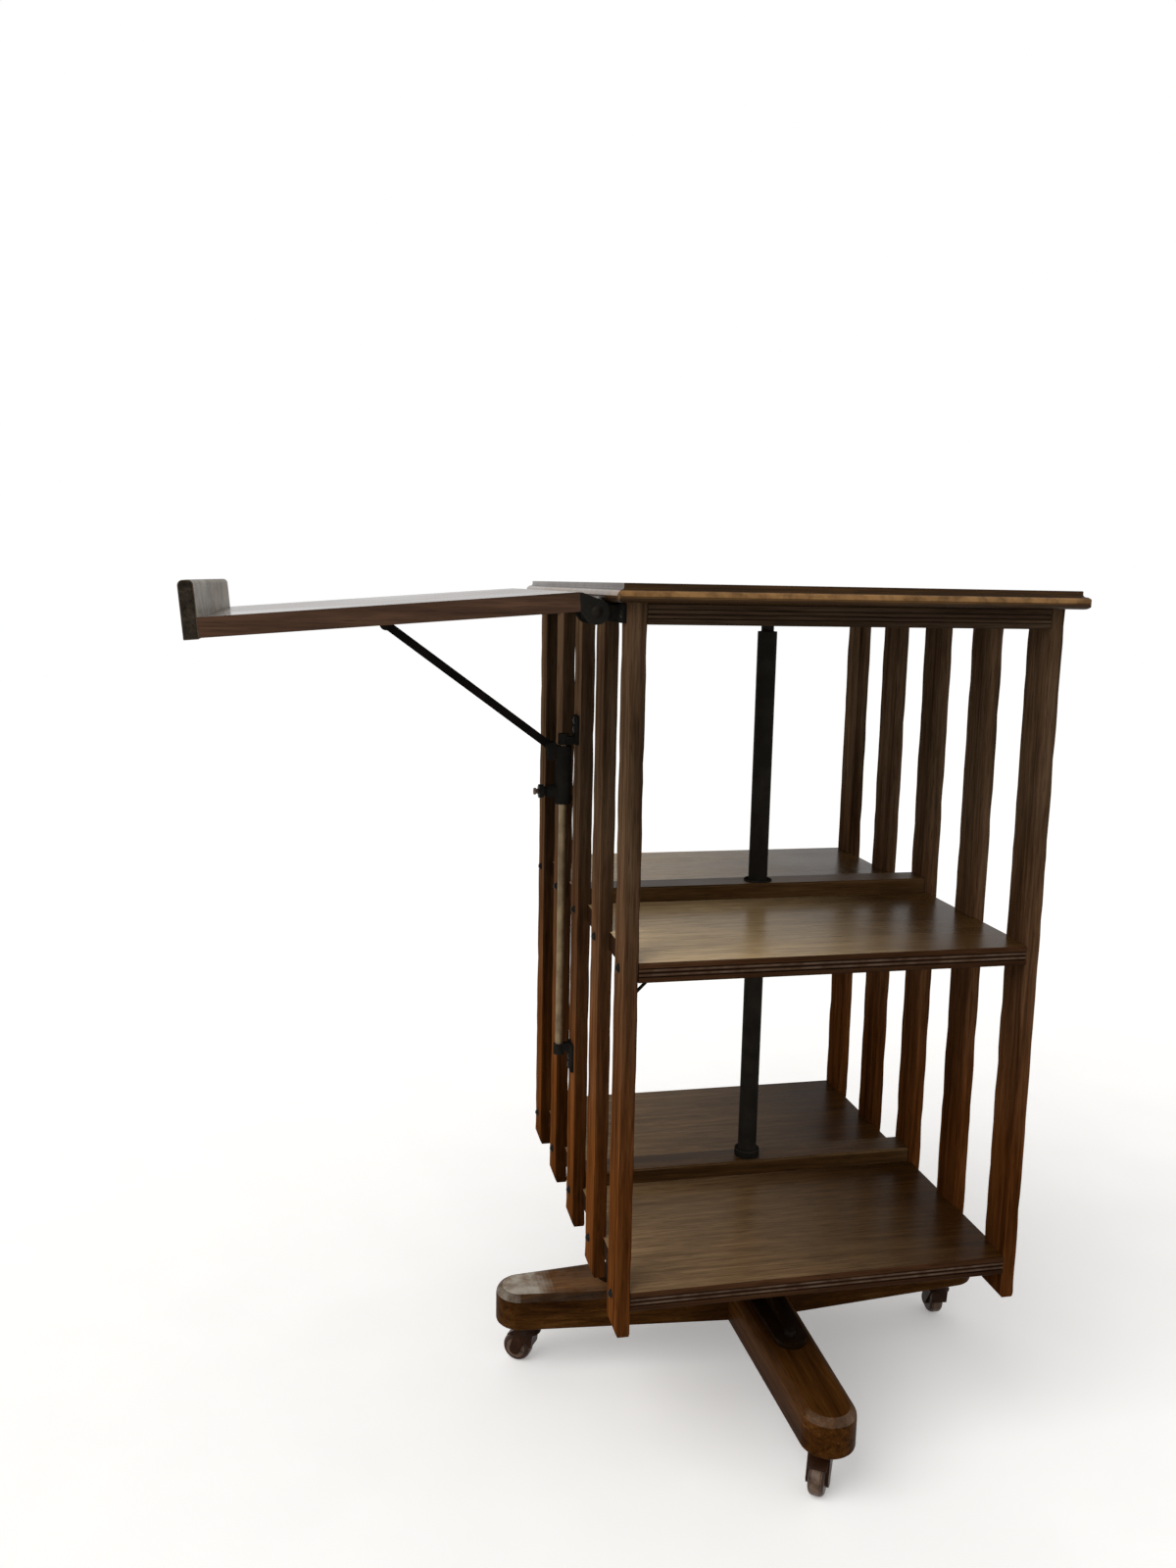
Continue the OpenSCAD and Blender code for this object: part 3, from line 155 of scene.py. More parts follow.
def oak(name, along, dark, mid, light, gloss, seed, shine, relief=1.0, axis_blend=None, wear_and_highlight_colour=None,
        sheen=0.0):
    """Varnished oak with its grain along one axis: streaks, pores, grime, wear and painted light.

    gloss is the roughness, shine the strength of the reflections and relief the depth of the
    grain. The blend along an axis is (axis, low, high, dark, light), where the wood turns to other
    colours between two places on that axis. The colour of wear and highlights goes where an edge
    has wear or where a highlight is painted.
    """
    net = Net(name)

    def stretched(amount):
        return tuple(amount if axis == along else 1.0 for axis in "xyz")

    shift = tuple(seed * v for v in SEED_SHIFT)
    grain_place = net.place(stretched(GRAIN_STRETCH), shift)
    pore_place = net.place(stretched(PORE_STRETCH), shift)
    plain = net.place((1, 1, 1), shift)
    streaks = net.blur(grain_place, STREAKS, 5, 0.55, 1.2)
    rings = net.blur(grain_place, RINGS, 4, 0.6, 0.6)
    fibres = net.blur(grain_place, FIBRES, 3, 0.6)
    pores = net.blur(pore_place, PORES, 2, 0.5)
    clouds = net.blur(plain, CLOUDS, 3, 0.55)
    spots = net.blur(plain, SPOTS, 4, 0.6)

    grain = net.maths("ADD", net.maths("MULTIPLY", streaks, 0.45),
                      net.maths("MULTIPLY", rings, 0.55))
    colour = net.ramp(grain, [(0.34, dark), (0.5, mid), (0.66, light)])
    # A blend of colours along one axis; on the shelves it is painted light and sheen
    if axis_blend is not None:
        axis, low, high, blend_dark, blend_light = axis_blend
        spread = net.add("SeparateXYZ", {"Vector": net.place()}).outputs["XYZ".index(axis)]
        waver = net.maths("MULTIPLY", net.maths("SUBTRACT", clouds, 0.5), 0.5 * abs(high - low))
        spread = net.maths("ADD", spread, waver)
        blended = net.ramp(grain, [(0.36, blend_dark), (0.64, blend_light)])
        colour = net.mix(net.grey(spread, low, high), colour, blended)
    colour = net.mix(net.grey(fibres, 0.42, 0.62, 0.0, 0.35), colour, scaled(dark, 0.45))
    pore = net.grey(pores, 0.60, 0.68)
    colour = net.mix(net.maths("MULTIPLY", pore, 0.7), colour, scaled(dark, 0.25))

    # Grime and painted shade darken the wood here, and below zero the same value lightens it as
    # painted light
    dirt_and_painted_light = net.attribute("dirt_and_painted_light")
    shade = net.grey(clouds, 0.3, 0.7, 0.78, 1.18)
    shade = net.maths("MULTIPLY", shade, net.maths("SUBTRACT", 1.0, dirt_and_painted_light))
    tint = net.add("CombineColor", {0: shade, 1: shade, 2: shade}).outputs[0]
    colour = net.mix(1.0, colour, tint, "MULTIPLY")
    # Edge wear, and also painted highlights, take the colour of wear and highlights here
    wear_and_highlight_mask = net.maths("MULTIPLY", net.attribute("worn"), net.grey(spots, 0.38, 0.6, 0.25, 0.8))
    colour = net.mix(wear_and_highlight_mask, colour, rgb(*(wear_and_highlight_colour or [min(1.0, 1.9 * v + 0.01) for v in light])))

    uneven = net.maths("ADD", net.maths("MULTIPLY", clouds, 0.6),
                       net.maths("MULTIPLY", streaks, 0.4))
    rough = net.grey(uneven, 0.35, 0.65, gloss - 0.04, gloss + 0.08)
    dull = net.maths("MULTIPLY", net.maths("MAXIMUM", dirt_and_painted_light, 0.0), 0.2)
    rough = net.maths("ADD", rough, dull, clamp=True)
    dents = net.maths("SUBTRACT", fibres, net.maths("MULTIPLY", pore, 0.6))
    normal = net.bump(dents, 0.05 * relief, 0.0004)
    normal = net.bump(streaks, 0.05 * relief, 0.002, normal)
    net.set(Base_Color=colour, Roughness=rough, Normal=normal, Specular_IOR_Level=shine,
            Specular_Tint=VARNISH_TINT, Sheen_Weight=sheen, Sheen_Tint=SHEEN_TINT)
    return net.material


def iron(name, base, rust, gloss, shine, wear_and_highlight_colour=(0.055, 0.045, 0.036)):
    """Old cast iron under black paint: pebbled skin, rubbed edges and brown specks."""
    net = Net(name)
    plain = net.place()
    skin = net.blur(plain, 900, 3, 0.6)
    lumps = net.blur(plain, 160, 4, 0.6)
    patches = net.blur(plain, 38, 4, 0.6)
    colour = net.mix(net.grey(patches, 0.42, 0.7, 0.0, 0.8), rgb(*base), scaled(base, 1.8))
    colour = net.mix(net.grey(lumps, 0.58, 0.72, 0.0, 0.7), colour, rgb(*rust))
    wear_and_highlight_mask = net.maths("MULTIPLY", net.attribute("worn"), net.grey(patches, 0.35, 0.6, 0.1, 0.8))
    colour = net.mix(wear_and_highlight_mask, colour, rgb(*wear_and_highlight_colour))
    rough = net.grey(lumps, 0.3, 0.7, gloss - 0.08, gloss + 0.15)
    height = net.maths("ADD", net.maths("MULTIPLY", skin, 0.5), lumps)
    net.set(Base_Color=colour, Roughness=rough, Normal=net.bump(height, 0.25, 0.0007),
            Specular_IOR_Level=shine)
    return net.material


def steel(name, base, dark, gloss):
    """Worn steel with a tan patina, drawn along Z, with scratches."""
    net = Net(name)
    lines = net.blur(net.place((1, 1, 0.03)), 1500, 3, 0.6)
    patches = net.blur(net.place(), 45, 4, 0.6)
    colour = net.mix(net.grey(patches, 0.38, 0.66), rgb(*base), rgb(*dark))
    colour = net.mix(net.grey(lines, 0.5, 0.75, 0.0, 0.5), colour, scaled(dark, 0.4))
    rough = net.grey(patches, 0.3, 0.7, gloss, gloss + 0.2)
    net.set(Base_Color=colour, Roughness=rough, Normal=net.bump(lines, 0.15, 0.0004),
            Metallic=0.5)
    return net.material


def roller(name):
    """Dark red-brown caster wheel, dusty at its faces, with a painted highlight round its tread.
    """
    net = Net(name)
    plain = net.place()
    clouds = net.blur(plain, 120, 4, 0.6)
    dust = net.blur(plain, 500, 3, 0.6)
    colour = net.mix(net.grey(clouds, 0.35, 0.65), rgb(0.020, 0.0075, 0.0034),
                     rgb(0.044, 0.018, 0.0085))
    colour = net.mix(net.grey(dust, 0.62, 0.8, 0.0, 0.35), colour, rgb(0.070, 0.042, 0.026))
    # Painted highlight: the pale ring around the tread
    wear_and_highlight_mask = net.maths("MULTIPLY", net.attribute("worn"), net.grey(clouds, 0.35, 0.6, 0.35, 0.9))
    colour = net.mix(wear_and_highlight_mask, colour, rgb(0.150, 0.100, 0.070))
    rough = net.grey(dust, 0.3, 0.7, 0.22, 0.42)
    net.set(Base_Color=colour, Roughness=rough, Normal=net.bump(clouds, 0.1, 0.0006),
            Specular_IOR_Level=0.1, Coat_Weight=0.12, Coat_Roughness=0.2)
    return net.material


slat_oak = oak("oak_slats", "z",
               (0.028, 0.0085, 0.0022), (0.094, 0.0305, 0.0074), (0.165, 0.058, 0.0145),
               gloss=0.5, seed=1.0, shine=0.0, wear_and_highlight_colour=(0.125, 0.056, 0.022),
               axis_blend=("Z", 0.30, 0.62, (0.034, 0.0180, 0.0092), (0.126, 0.076, 0.043)))
# Both shelves paint light and sheen into their colour: from X 0.26 m (0.28 m on the low shelf)
# towards their left ends at X -0.04 m the wood turns far paler
shelf_oak = oak("oak_shelf_middle", "x",
                (0.030, 0.0118, 0.0022), (0.056, 0.0240, 0.0046), (0.086, 0.040, 0.0088),
                gloss=0.25, seed=2.0, shine=0.045, relief=0.3, wear_and_highlight_colour=(0.125, 0.080, 0.050),
                axis_blend=("X", 0.26, -0.04, (0.580, 0.390, 0.190), (0.880, 0.640, 0.340)),
                sheen=0.03)
low_shelf_oak = oak("oak_shelf_low", "x",
                    (0.022, 0.0078, 0.0014), (0.041, 0.0148, 0.0026), (0.064, 0.026, 0.0052),
                    gloss=0.27, seed=2.6, shine=0.025, relief=0.3, wear_and_highlight_colour=(0.125, 0.080, 0.050),
                    axis_blend=("X", 0.28, -0.04, (0.216, 0.128, 0.060), (0.370, 0.240, 0.122)),
                    sheen=0.02)
# Colour of the reeded edges; its colour of wear and highlights is the painted highlight on the
# crest of each reed
edge_oak = oak("oak_shelf_edges", "x",
               (0.024, 0.0090, 0.0036), (0.044, 0.0180, 0.0076), (0.066, 0.030, 0.0135),
               gloss=0.5, seed=2.3, shine=0.02, relief=0.4, wear_and_highlight_colour=(0.190, 0.140, 0.105))
# Its colour of wear and highlights is the golden painted highlight on the ovolo of the moulding
top_oak = oak("oak_top", "x",
              (0.024, 0.0100, 0.0032), (0.066, 0.0290, 0.0086), (0.140, 0.070, 0.0210),
              gloss=0.3, seed=3.0, shine=0.12, wear_and_highlight_colour=(0.310, 0.165, 0.062))
polished_oak = oak("oak_polished", "x",
                   (0.026, 0.0110, 0.0040), (0.058, 0.0270, 0.0100), (0.100, 0.052, 0.0200),
                   gloss=0.18, seed=3.6, shine=0.20, relief=0.3)
# The base arms' colours of wear and highlights are painted: highlights on their rounded top edges,
# and on the side arm a near-white painted reflection at its left end
arm_side_oak = oak("oak_arm_side", "x",
                   (0.018, 0.0062, 0.0014), (0.050, 0.0190, 0.0042), (0.094, 0.040, 0.0098),
                   gloss=0.34, seed=4.0, shine=0.01, wear_and_highlight_colour=(0.52, 0.49, 0.42))
arm_front_oak = oak("oak_arm_front", "y",
                    (0.022, 0.0074, 0.0016), (0.062, 0.0222, 0.0043), (0.114, 0.045, 0.0100),
                    gloss=0.34, seed=5.0, shine=0.01, wear_and_highlight_colour=(0.30, 0.24, 0.19))
sub_oak = oak("oak_under_top", "x",
              (0.0230, 0.0132, 0.0078), (0.052, 0.0315, 0.0190), (0.088, 0.056, 0.0340),
              gloss=0.5, seed=6.0, shine=0.01, wear_and_highlight_colour=(0.075, 0.046, 0.028))
rest_oak = oak("oak_rest", "x",
               (0.026, 0.0112, 0.0060), (0.058, 0.0265, 0.0150), (0.094, 0.046, 0.027),
               gloss=0.3, seed=7.0, shine=0.16)
ledge_oak = oak("oak_ledge", "y",
                (0.014, 0.0108, 0.0078), (0.038, 0.030, 0.022), (0.070, 0.056, 0.042),
                gloss=0.3, seed=8.0, shine=0.008, wear_and_highlight_colour=(0.40, 0.325, 0.225))
strip_oak = oak("oak_strips", "x",
                (0.030, 0.0130, 0.0040), (0.078, 0.0380, 0.0130), (0.130, 0.070, 0.0260),
                gloss=0.4, seed=9.0, shine=0.05, wear_and_highlight_colour=(0.20, 0.13, 0.07))
cast_iron = iron("cast_iron", (0.0120, 0.0110, 0.0095), (0.026, 0.0165, 0.0105), 0.44, 0.0)
stay_iron = iron("stay_iron", (0.0085, 0.0070, 0.0068), (0.014, 0.0090, 0.0072), 0.44, 0.0)
thumb_iron = iron("thumb_iron", (0.0120, 0.0110, 0.0095), (0.026, 0.0165, 0.0105), 0.40, 0.02,
                  wear_and_highlight_colour=(0.42, 0.27, 0.23))
plate_iron = iron("plate_iron", (0.0120, 0.0055, 0.0022), (0.028, 0.013, 0.005), 0.36, 0.04)
pole_iron = iron("pole_iron", (0.0160, 0.0140, 0.0115), (0.022, 0.0150, 0.010), 0.4, 0.01)
screw_iron = iron("screw_iron", (0.0110, 0.0085, 0.0065), (0.030, 0.016, 0.009), 0.34, 0.04)
fork_iron = iron("fork_iron", (0.0230, 0.0088, 0.0038), (0.046, 0.020, 0.009), 0.26, 0.05)
rod_steel = steel("worn_steel", (0.235, 0.172, 0.092), (0.12, 0.080, 0.040), 0.45)
wheel_brown = roller("caster_wheel")


# Pieces made from a node's own shape, with rounded and worn edges

JOIN_WITHIN = 2e-6
FLAT_WITHIN = math.radians(0.4)
SHARP_FROM = math.radians(32)
SMOOTH_UP_TO = math.radians(50)


def clamp(value, low=0.0, high=1.0):
    return max(low, min(high, value))


def slice_across(shape, place, normal):
    """Cuts a shape along a plane without parting it, so that it has a ring of points there."""
    bmesh.ops.bisect_plane(shape, geom=shape.verts[:] + shape.edges[:] + shape.faces[:],
                           dist=1e-6, plane_co=place, plane_no=normal)


def soften(name, body, material, slot, width=0.5, steps=2, wear=1.0, wear_dirt_and_painted_light=None, change=None,
           second=None):
    """A node's shape as a piece, with its sharp edges rounded by width in millimetres.

    The rounded faces carry the wear. change alters the shape, and a function of (face, wear)
    gives each face its wear or painted highlight, and its grime or painted shade. The second
    value darkens the wood, and below zero it lightens it as painted light. A face may take the
    second material.
    """
    shape = bmesh.new()
    shape.from_mesh(nodes[name].data)
    bmesh.ops.remove_doubles(shape, verts=shape.verts, dist=JOIN_WITHIN)
    bmesh.ops.dissolve_limit(shape, angle_limit=FLAT_WITHIN, verts=shape.verts,
                             edges=shape.edges)
    worn = shape.faces.layers.float.new("worn")
    dirt_and_painted_light = shape.faces.layers.float.new("dirt_and_painted_light")
    sharp = [e for e in shape.edges
             if len(e.link_faces) == 2 and e.calc_face_angle(0.0) > SHARP_FROM]
    made = bmesh.ops.bevel(shape, geom=sharp, offset=width * MM, offset_type="OFFSET",
                           segments=steps, profile=0.5, affect="EDGES", clamp_overlap=True)
    for face in made["faces"]:
        face[worn] = wear
    if change:
        change(shape)
    if wear_dirt_and_painted_light:
        for face in shape.faces:
            face[worn], face[dirt_and_painted_light] = wear_dirt_and_painted_light(face, face[worn])
    mesh = bpy.data.meshes.new(name + "_made")
    shape.to_mesh(mesh)
    shape.free()
    mesh.materials.append(material)
    if second:
        mesh.materials.append(second)
    for face in mesh.polygons:
        face.use_smooth = True
    mesh.set_sharp_from_angle(angle=SMOOTH_UP_TO)
    piece = bpy.data.objects.new(name + "_made", mesh)
    bpy.context.scene.collection.objects.link(piece)
    even = piece.modifiers.new("even_normals", "WEIGHTED_NORMAL")
    even.keep_sharp = True
    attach(piece, body)
    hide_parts(name)


# Wear, grime, painted highlights and painted shade of each kind of piece, and changes to its shape

sub_low, sub_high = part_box("sub_top")
half_depth = sub_high[1]
shelf_thick = (sub_high[2] - sub_low[2]) / MM
pole_low, pole_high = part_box("pole")
pole_x = (pole_low[0] + pole_high[0]) / 2
top_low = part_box("top_board")[0][2]

# Millimetres in from a shelf's front edge: the crest of a reed, and the whole reeded edge
CREST_DEPTH, REEDED_DEPTH = 0.45, 4
# Millimetres of plain edge below and above the reeds
PLAIN_BELOW, PLAIN_ABOVE = 3.5, 4.5


def reeded_wear_and_painted_light(under, crest_highlight, groove_shade):
    """Wear, grime and painted light of a shelf, whose reeded edges take the second material."""
    def wear_dirt_and_painted_light(face, wear):
        centre = face.calc_center_median()
        inset = (half_depth - abs(centre.y)) / MM
        height = (centre.z - under) / MM
        if abs(face.normal.x) > 0.7:
            face.material_index = 1
            return 0.0, 0.4
        if abs(face.normal.z) > 0.985 or inset > REEDED_DEPTH:
            return 0.3 * wear, 0.0
        face.material_index = 1
        if PLAIN_BELOW < height < shelf_thick - PLAIN_ABOVE:
            # A painted highlight on the crest of each reed, lighter where it faces up, and painted
            # shade in the grooves between the reeds
            crest = clamp(1 - inset / CREST_DEPTH)
            return crest_highlight * crest * clamp(face.normal.z + 0.7), groove_shade * (1 - crest)
        # The plain edge is darker on its lower half
        return 0.0, (0.25 if height < shelf_thick / 2 else 0.0)
    return wear_dirt_and_painted_light


# Painted shade on the narrow faces of the slats, from the front row to the back row
LEFT_PAINTED_SHADE = (0.20, 0.36, 0.46, 0.52, 0.56)
RIGHT_PAINTED_SHADE = (0.16, 0.00, 0.05, 0.10, 0.16)


def slat_wear_and_painted_light(row, on_left):
    """Wear and painted light of one slat: painted shade on its narrow faces, a lit face towards
    -X.
    """
    shade = (LEFT_PAINTED_SHADE if on_left else RIGHT_PAINTED_SHADE)[row - 1]

    def wear_dirt_and_painted_light(face, wear):
        # Painted shade on the front and back faces
        if abs(face.normal.y) > 0.7:
            return 0.3 * wear, shade
        # Painted light on the face towards -X, less of it low down; on the right slats this face
        # turns to painted shade low down
        if face.normal.x < -0.9:
            low_part = clamp((0.55 - face.calc_center_median().z) / 0.2)
            return 0.0, (-0.6 + 0.1 * low_part if on_left else -0.1 + 0.3 * low_part)
        return 0.4 * wear, 0.0
    return wear_dirt_and_painted_light


SLAT_RINGS = 44
# Distance from a slat's lower and upper end that keeps its shape
STEADY_BELOW, STEADY_ABOVE = 4 * MM, 2 * MM
# Most that a slat's long edges are worn back, across and along the case
WORN_ACROSS, WORN_ALONG = 0.55 * MM, 0.75 * MM


def uneven_edges(seed):
    """A change to a slat: rings along its length, and long edges worn a little unevenly."""
    def change(shape):
        low = min(v.co.z for v in shape.verts)
        high = max(v.co.z for v in shape.verts)
        xs = [v.co.x for v in shape.verts]
        ys = [v.co.y for v in shape.verts]
        middle = Vector(((min(xs) + max(xs)) / 2, (min(ys) + max(ys)) / 2, 0))
        half_x, half_y = (max(xs) - min(xs)) / 2, (max(ys) - min(ys)) / 2
        for ring in range(1, SLAT_RINGS):
            slice_across(shape, (0, 0, low + (high - low) * ring / SLAT_RINGS), (0, 0, 1))
        for vert in shape.verts:
            x, y = (vert.co.x - middle.x) / half_x, (vert.co.y - middle.y) / half_y
            near = clamp((abs(x) + abs(y) - 1.72) / 0.2)
            if near and low + STEADY_BELOW < vert.co.z < high - STEADY_ABOVE:
                spot = Vector((3.0 * seed + (1 if x > 0 else 0), 2.0 if y > 0 else 0,
                               vert.co.z * 30))
                deep = (clamp(noise.noise(spot) * 1.4 + 0.25)
                        + 0.5 * clamp(noise.noise(spot * 4.7)))
                vert.co.x -= math.copysign(WORN_ACROSS * near * deep, x)
                vert.co.y -= math.copysign(WORN_ALONG * near * deep, y)
    return change


# Places along the base arms, in metres from the pole: where the painted reflection on the left
# arm's top starts and is full, where its palest end starts, and where the painted highlights on
# the rounded top edges grow
PALE_FROM, PALE_FULL, END_FROM, HIGHLIGHT_FROM = 0.12, 0.17, 0.212, 0.250
END_CUTS, CUT_STEP = 29, 4 * MM


def cut_left_end(shape):
    """A change to the side arm: cuts across its left part, for the painted reflection there."""
    for step in range(END_CUTS):
        slice_across(shape, (pole_x - PALE_FROM - CUT_STEP * step, 0, 0), (1, 0, 0))


def arm_painted_highlights(face, _wear):
    """Painted highlights on the arms' rounded top edges, and a painted reflection on the left end.
    """
    centre = face.calc_center_median()
    along = Vector((centre.x - pole_x, centre.y)).length
    to_left = pole_x - centre.x
    if 0.30 < face.normal.z < 0.95:
        return 0.04 + 0.4 * clamp((along - HIGHLIGHT_FROM) / 0.02), 0.0
    # Painted reflection: the top of the left arm turns pale towards its end
    if face.normal.z > 0.95:
        pale = clamp((to_left - PALE_FROM) / (PALE_FULL - PALE_FROM))
        return max(0.08 * pale, clamp((to_left - END_FROM) / 0.024)), -1.5 * pale
    return 0.0, 0.0


def tread_painted_highlight(centre):
    """A painted highlight: a pale ring around the middle of a wheel's tread."""
    def wear_dirt_and_painted_light(face, _wear):
        out = (face.calc_center_median() - centre).normalized()
        return (0.9 if face.normal.dot(out) > 0.985 else 0.0), 0.0
    return wear_dirt_and_painted_light


def tip_soil(tip_x):
    """The thumbscrew's bright tip, 4 mm long."""
    def wear_dirt_and_painted_light(face, _wear):
        return (1.0 if face.calc_center_median().x < tip_x + 4 * MM else 0.0), 0.0
    return wear_dirt_and_painted_light


# Bands of the top board's moulding: each one's upper end in millimetres, painted highlight
# and painted shade
TOP_BANDS = ((3.5, 0.0, 0.45), (5.5, 0.15, 0.15), (10.2, 1.0, 0.0), (13.0, 0.0, 0.5),
             (math.inf, 0.0, 0.3))


def top_painted_light(face, _wear):
    """Painted light in bands on the top board's moulding, and its polished upper face and left
    side.
    """
    height = (face.calc_center_median().z - top_low) / MM
    if (face.normal.z > 0.95 and height > 15) or face.normal.x < -0.3:
        face.material_index = 1
    # Painted shade on the underside
    if face.normal.z < -0.55:
        return 0.0, 0.55
    # The ovolo band takes a painted highlight, and the bands below and above it painted shade
    return next((wear, dirt_and_painted_light) for end, wear, dirt_and_painted_light in TOP_BANDS if height < end)


def ledge_soil(face, wear):
    """The ledge's paler face towards the book, and its rubbed edges."""
    return (0.8 if face.normal.x > 0.4 else 0.25 * wear), 0.0


def rest_soil(face, wear):
    """The book rest's polished upper face, and its rubbed edges."""
    if face.normal.z > 0.9:
        face.material_index = 1
    return 0.4 * wear, 0.0


# Pieces of one finish, by the start of the node's name: material, slot and other settings
PLAIN_PIECES = (
    (("middle_strip", "bottom_strip"), strip_oak, "oak", {"width": 0.6, "wear": 0.5}),
    (("guide_rod",), rod_steel, "worn_steel", {"width": 0.4}),
    (("spider_bolts", "hinge_pins"), screw_iron, "worn_steel", {"width": 0.4}),
    (("caster_plate", "caster_fork"), fork_iron, "black_iron", {"width": 0.7, "steps": 3}),
    (("pole_spider",), plate_iron, "black_iron", {"width": 0.9, "steps": 3}),
    (("slat_screws", "top_screws", "fixing_screws", "rest_screws"), screw_iron, "black_iron",
     {"width": 0.25}),
    (("stay",), stay_iron, "black_iron", {"wear": 0.1}),
    (("",), cast_iron, "black_iron", {}),
)


def dress(name, body, order):
    """Makes the piece of one node."""
    low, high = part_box(name)
    if name.startswith(("slat_left", "slat_right")):
        soften(name, body, slat_oak, "dark_oak", 0.9, 3,
               wear_dirt_and_painted_light=slat_wear_and_painted_light(int(name[-1]), "left" in name), change=uneven_edges(order))
    elif name == "top_board":
        soften(name, body, top_oak, "oak", 0.4, wear_dirt_and_painted_light=top_painted_light, second=polished_oak)
    elif name in ("middle_shelf", "bottom_shelf"):
        wood = shelf_oak if name == "middle_shelf" else low_shelf_oak
        # Painted highlights on the crests of the reeds, and painted shade in their grooves
        soften(name, body, wood, "oak", 0.4, wear_dirt_and_painted_light=reeded_wear_and_painted_light(low[2], 0.8, 0.5),
               second=edge_oak)
    elif name == "sub_top":
        # Slight painted shade in the grooves of the reeds, and no painted highlight on their
        # crests
        soften(name, body, sub_oak, "dark_oak", wear_dirt_and_painted_light=reeded_wear_and_painted_light(low[2], 0.0, 0.1),
               second=sub_oak)
    elif name == "rest_board":
        soften(name, body, rest_oak, "oak", 0.7, wear_dirt_and_painted_light=rest_soil, second=polished_oak)
    elif name == "rest_ledge":
        soften(name, body, ledge_oak, "dark_oak", 0.8, wear_dirt_and_painted_light=ledge_soil)
    elif name == "base_arm_side":
        soften(name, body, arm_side_oak, "oak", 0.6, wear_dirt_and_painted_light=arm_painted_highlights, change=cut_left_end)
    elif name == "base_arm_front":
        soften(name, body, arm_front_oak, "oak", 0.6, wear_dirt_and_painted_light=arm_painted_highlights)
    elif name.startswith("caster_wheel"):
        soften(name, body, wheel_brown, "caster_wheel", 0.6,
               wear_dirt_and_painted_light=tread_painted_highlight((Vector(low) + Vector(high)) / 2))
    elif name == "thumbscrew":
        soften(name, body, thumb_iron, "black_iron", wear_dirt_and_painted_light=tip_soil(low[0]))
    elif name == "pole":
        soften(name, body, pole_iron, "black_iron", 0.6)
    else:
        material, slot, settings = next(row[1:] for row in PLAIN_PIECES
                                        if name.startswith(row[0]))
        soften(name, body, material, slot, **settings)


for order, node_name in enumerate(nodes):
    dress(node_name, bodies[node_name], order)


# Floor, world, light and camera

FLOOR_HALF, FLOOR_STEPS = 9.0, 24
FLOOR_GLOW = 0.24
WORLD_LIGHT = 0.60
LIGHT_COLOUR = (1, 0.985, 0.96)


def floor():
    """A plain pale floor, flat and wide, that adds its glow only where it is seen."""
    mesh = bpy.data.meshes.new("floor")
    span = range(-FLOOR_STEPS, FLOOR_STEPS + 1)
    points = [(x * FLOOR_HALF / FLOOR_STEPS, y * FLOOR_HALF / FLOOR_STEPS, 0)
              for y in span for x in span]
    row = len(span)
    faces = [(a + b * row, a + 1 + b * row, a + 1 + (b + 1) * row, a + (b + 1) * row)
             for b in range(row - 1) for a in range(row - 1)]
    mesh.from_pydata(points, [], faces)
    net = Net("pale_floor")
    speck = net.blur(net.place(), 9, 3, 0.5)
    rays = net.add("LightPath").outputs
    seen = net.maths("MAXIMUM", net.maths("MAXIMUM", rays["Is Camera Ray"], rays["Is Glossy Ray"]),
                     rays["Is Transmission Ray"])
    net.set(Base_Color=net.mix(net.grey(speck, 0.3, 0.7), rgb(0.90, 0.90, 0.90),
                               rgb(0.93, 0.93, 0.93)),
            Roughness=0.9, Specular_IOR_Level=0.1, Emission_Color=rgb(1, 1, 1),
            Emission_Strength=net.maths("MULTIPLY", seen, FLOOR_GLOW))
    mesh.materials.append(net.material)
    piece = bpy.data.objects.new("floor", mesh)
    bpy.context.scene.collection.objects.link(piece)


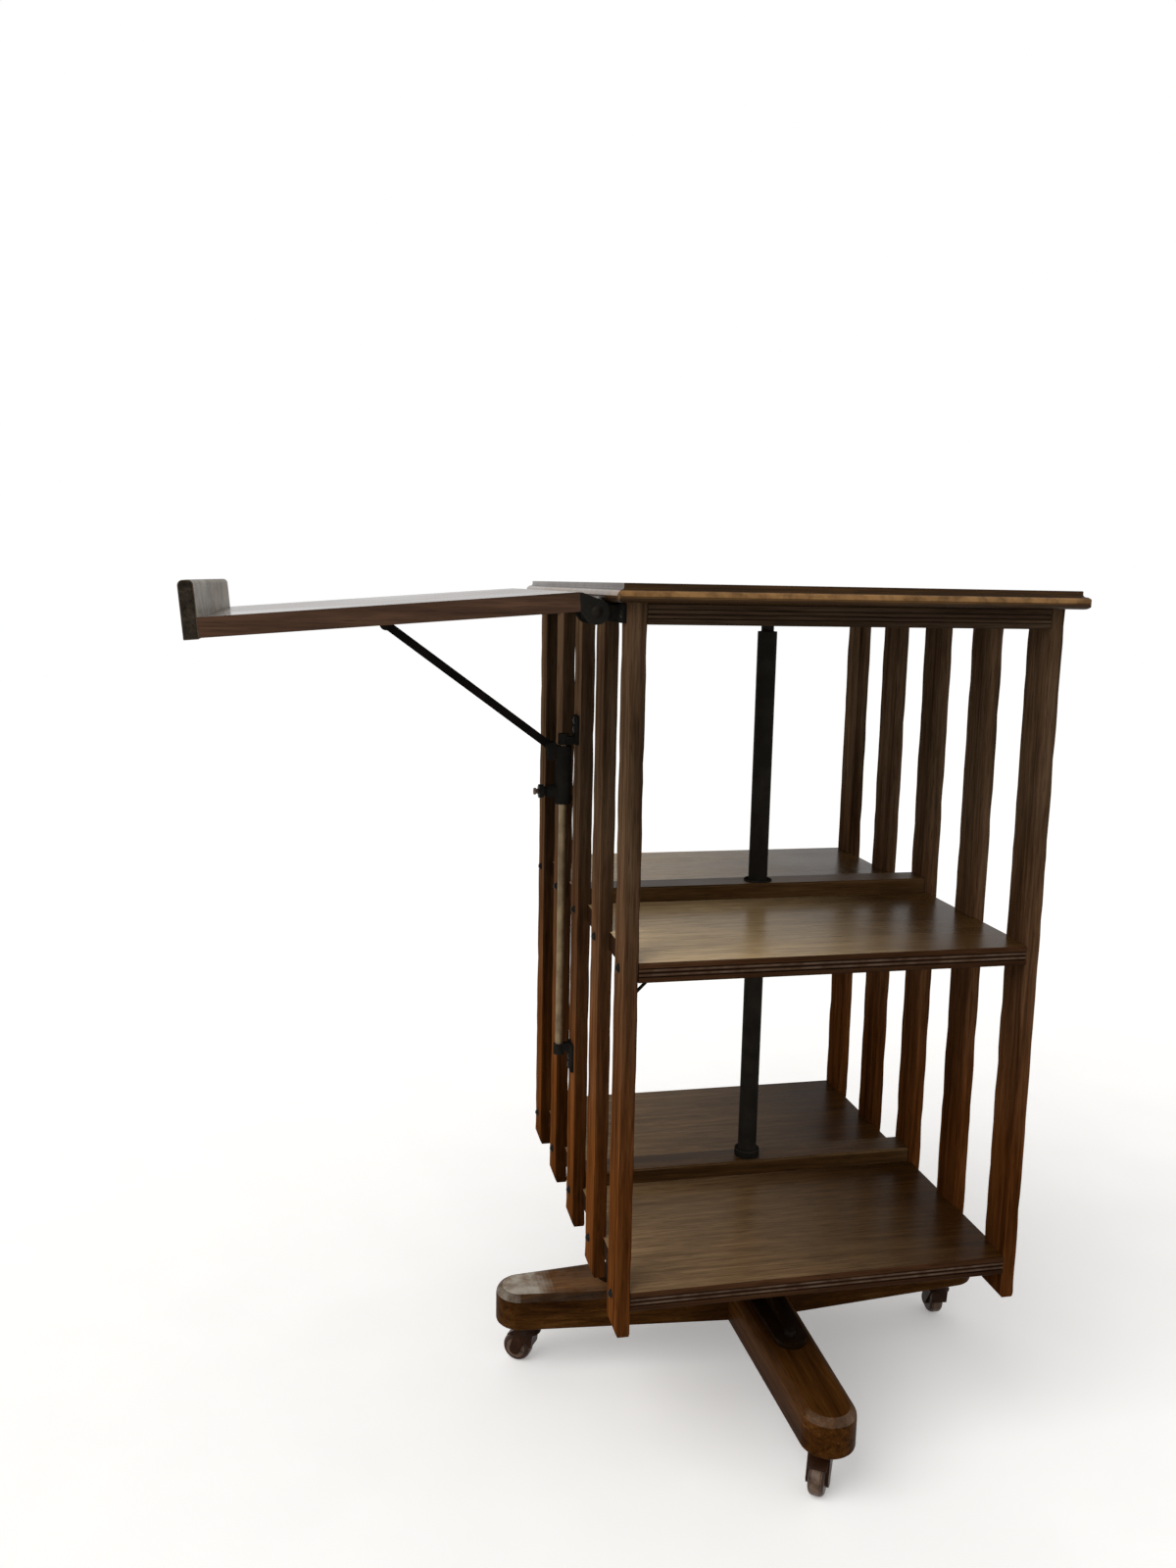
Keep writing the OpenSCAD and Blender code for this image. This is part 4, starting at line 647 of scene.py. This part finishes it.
def sky():
    """White behind the object and in its gloss, and a dimmer even light for the rest."""
    world = bpy.data.worlds.new("studio")
    bpy.context.scene.world = world
    world.use_nodes = True
    tree = world.node_tree
    tree.nodes.clear()
    out = tree.nodes.new("ShaderNodeOutputWorld")
    parts = []
    for colour, strength in ((rgb(1, 1, 1), 1.0), (rgb(*LIGHT_COLOUR), WORLD_LIGHT)):
        part = tree.nodes.new("ShaderNodeBackground")
        part.inputs["Color"].default_value = colour
        part.inputs["Strength"].default_value = strength
        parts.append(part.outputs[0])
    seen, lit = parts
    rays = tree.nodes.new("ShaderNodeLightPath")
    for ray in ("Is Glossy Ray", "Is Transmission Ray", "Is Camera Ray"):
        mix = tree.nodes.new("ShaderNodeMixShader")
        tree.links.new(rays.outputs[ray], mix.inputs[0])
        tree.links.new(lit, mix.inputs[1])
        tree.links.new(seen, mix.inputs[2])
        lit = mix.outputs[0]
    tree.links.new(lit, out.inputs[0])


def sun(name, direction, strength, angle, colour):
    """A lamp as wide as its angle in degrees, so that its shadows are soft."""
    data = bpy.data.lights.new(name, "SUN")
    data.energy = strength
    data.angle = math.radians(angle)
    data.color = colour
    piece = bpy.data.objects.new(name, data)
    bpy.context.scene.collection.objects.link(piece)
    piece.rotation_euler = Vector(direction).to_track_quat("-Z", "Y").to_euler()


CAMERA_PLACE = (-0.3062, -1.2485, 0.8373)
CAMERA_YAW, CAMERA_PITCH, CAMERA_ROLL = (math.radians(v) for v in (11.88, 9.06, 1.06))
LENS, SENSOR = 29.115, 36


def camera():
    """The photograph's camera, solved from about forty measured points."""
    ahead = Vector((math.sin(CAMERA_YAW) * math.cos(CAMERA_PITCH),
                    math.cos(CAMERA_YAW) * math.cos(CAMERA_PITCH), -math.sin(CAMERA_PITCH)))
    right = Vector((math.cos(CAMERA_YAW), -math.sin(CAMERA_YAW), 0))
    up = right.cross(ahead)
    cos_roll, sin_roll = math.cos(CAMERA_ROLL), math.sin(CAMERA_ROLL)
    right, up = cos_roll * right + sin_roll * up, -sin_roll * right + cos_roll * up
    data = bpy.data.cameras.new("camera")
    data.sensor_fit = "VERTICAL"
    data.sensor_height = SENSOR
    data.sensor_width = SENSOR
    data.lens = LENS
    data.clip_start = 0.02
    piece = bpy.data.objects.new("camera", data)
    bpy.context.scene.collection.objects.link(piece)
    turn = Matrix((right, up, -ahead)).transposed().to_4x4()
    piece.matrix_world = Matrix.Translation(CAMERA_PLACE) @ turn
    bpy.context.scene.camera = piece


floor()
sky()
sun("key", (0.62, 0.35, -0.72), 1.35, 50, LIGHT_COLOUR)
camera()
bpy.context.scene.view_settings.view_transform = "Standard"
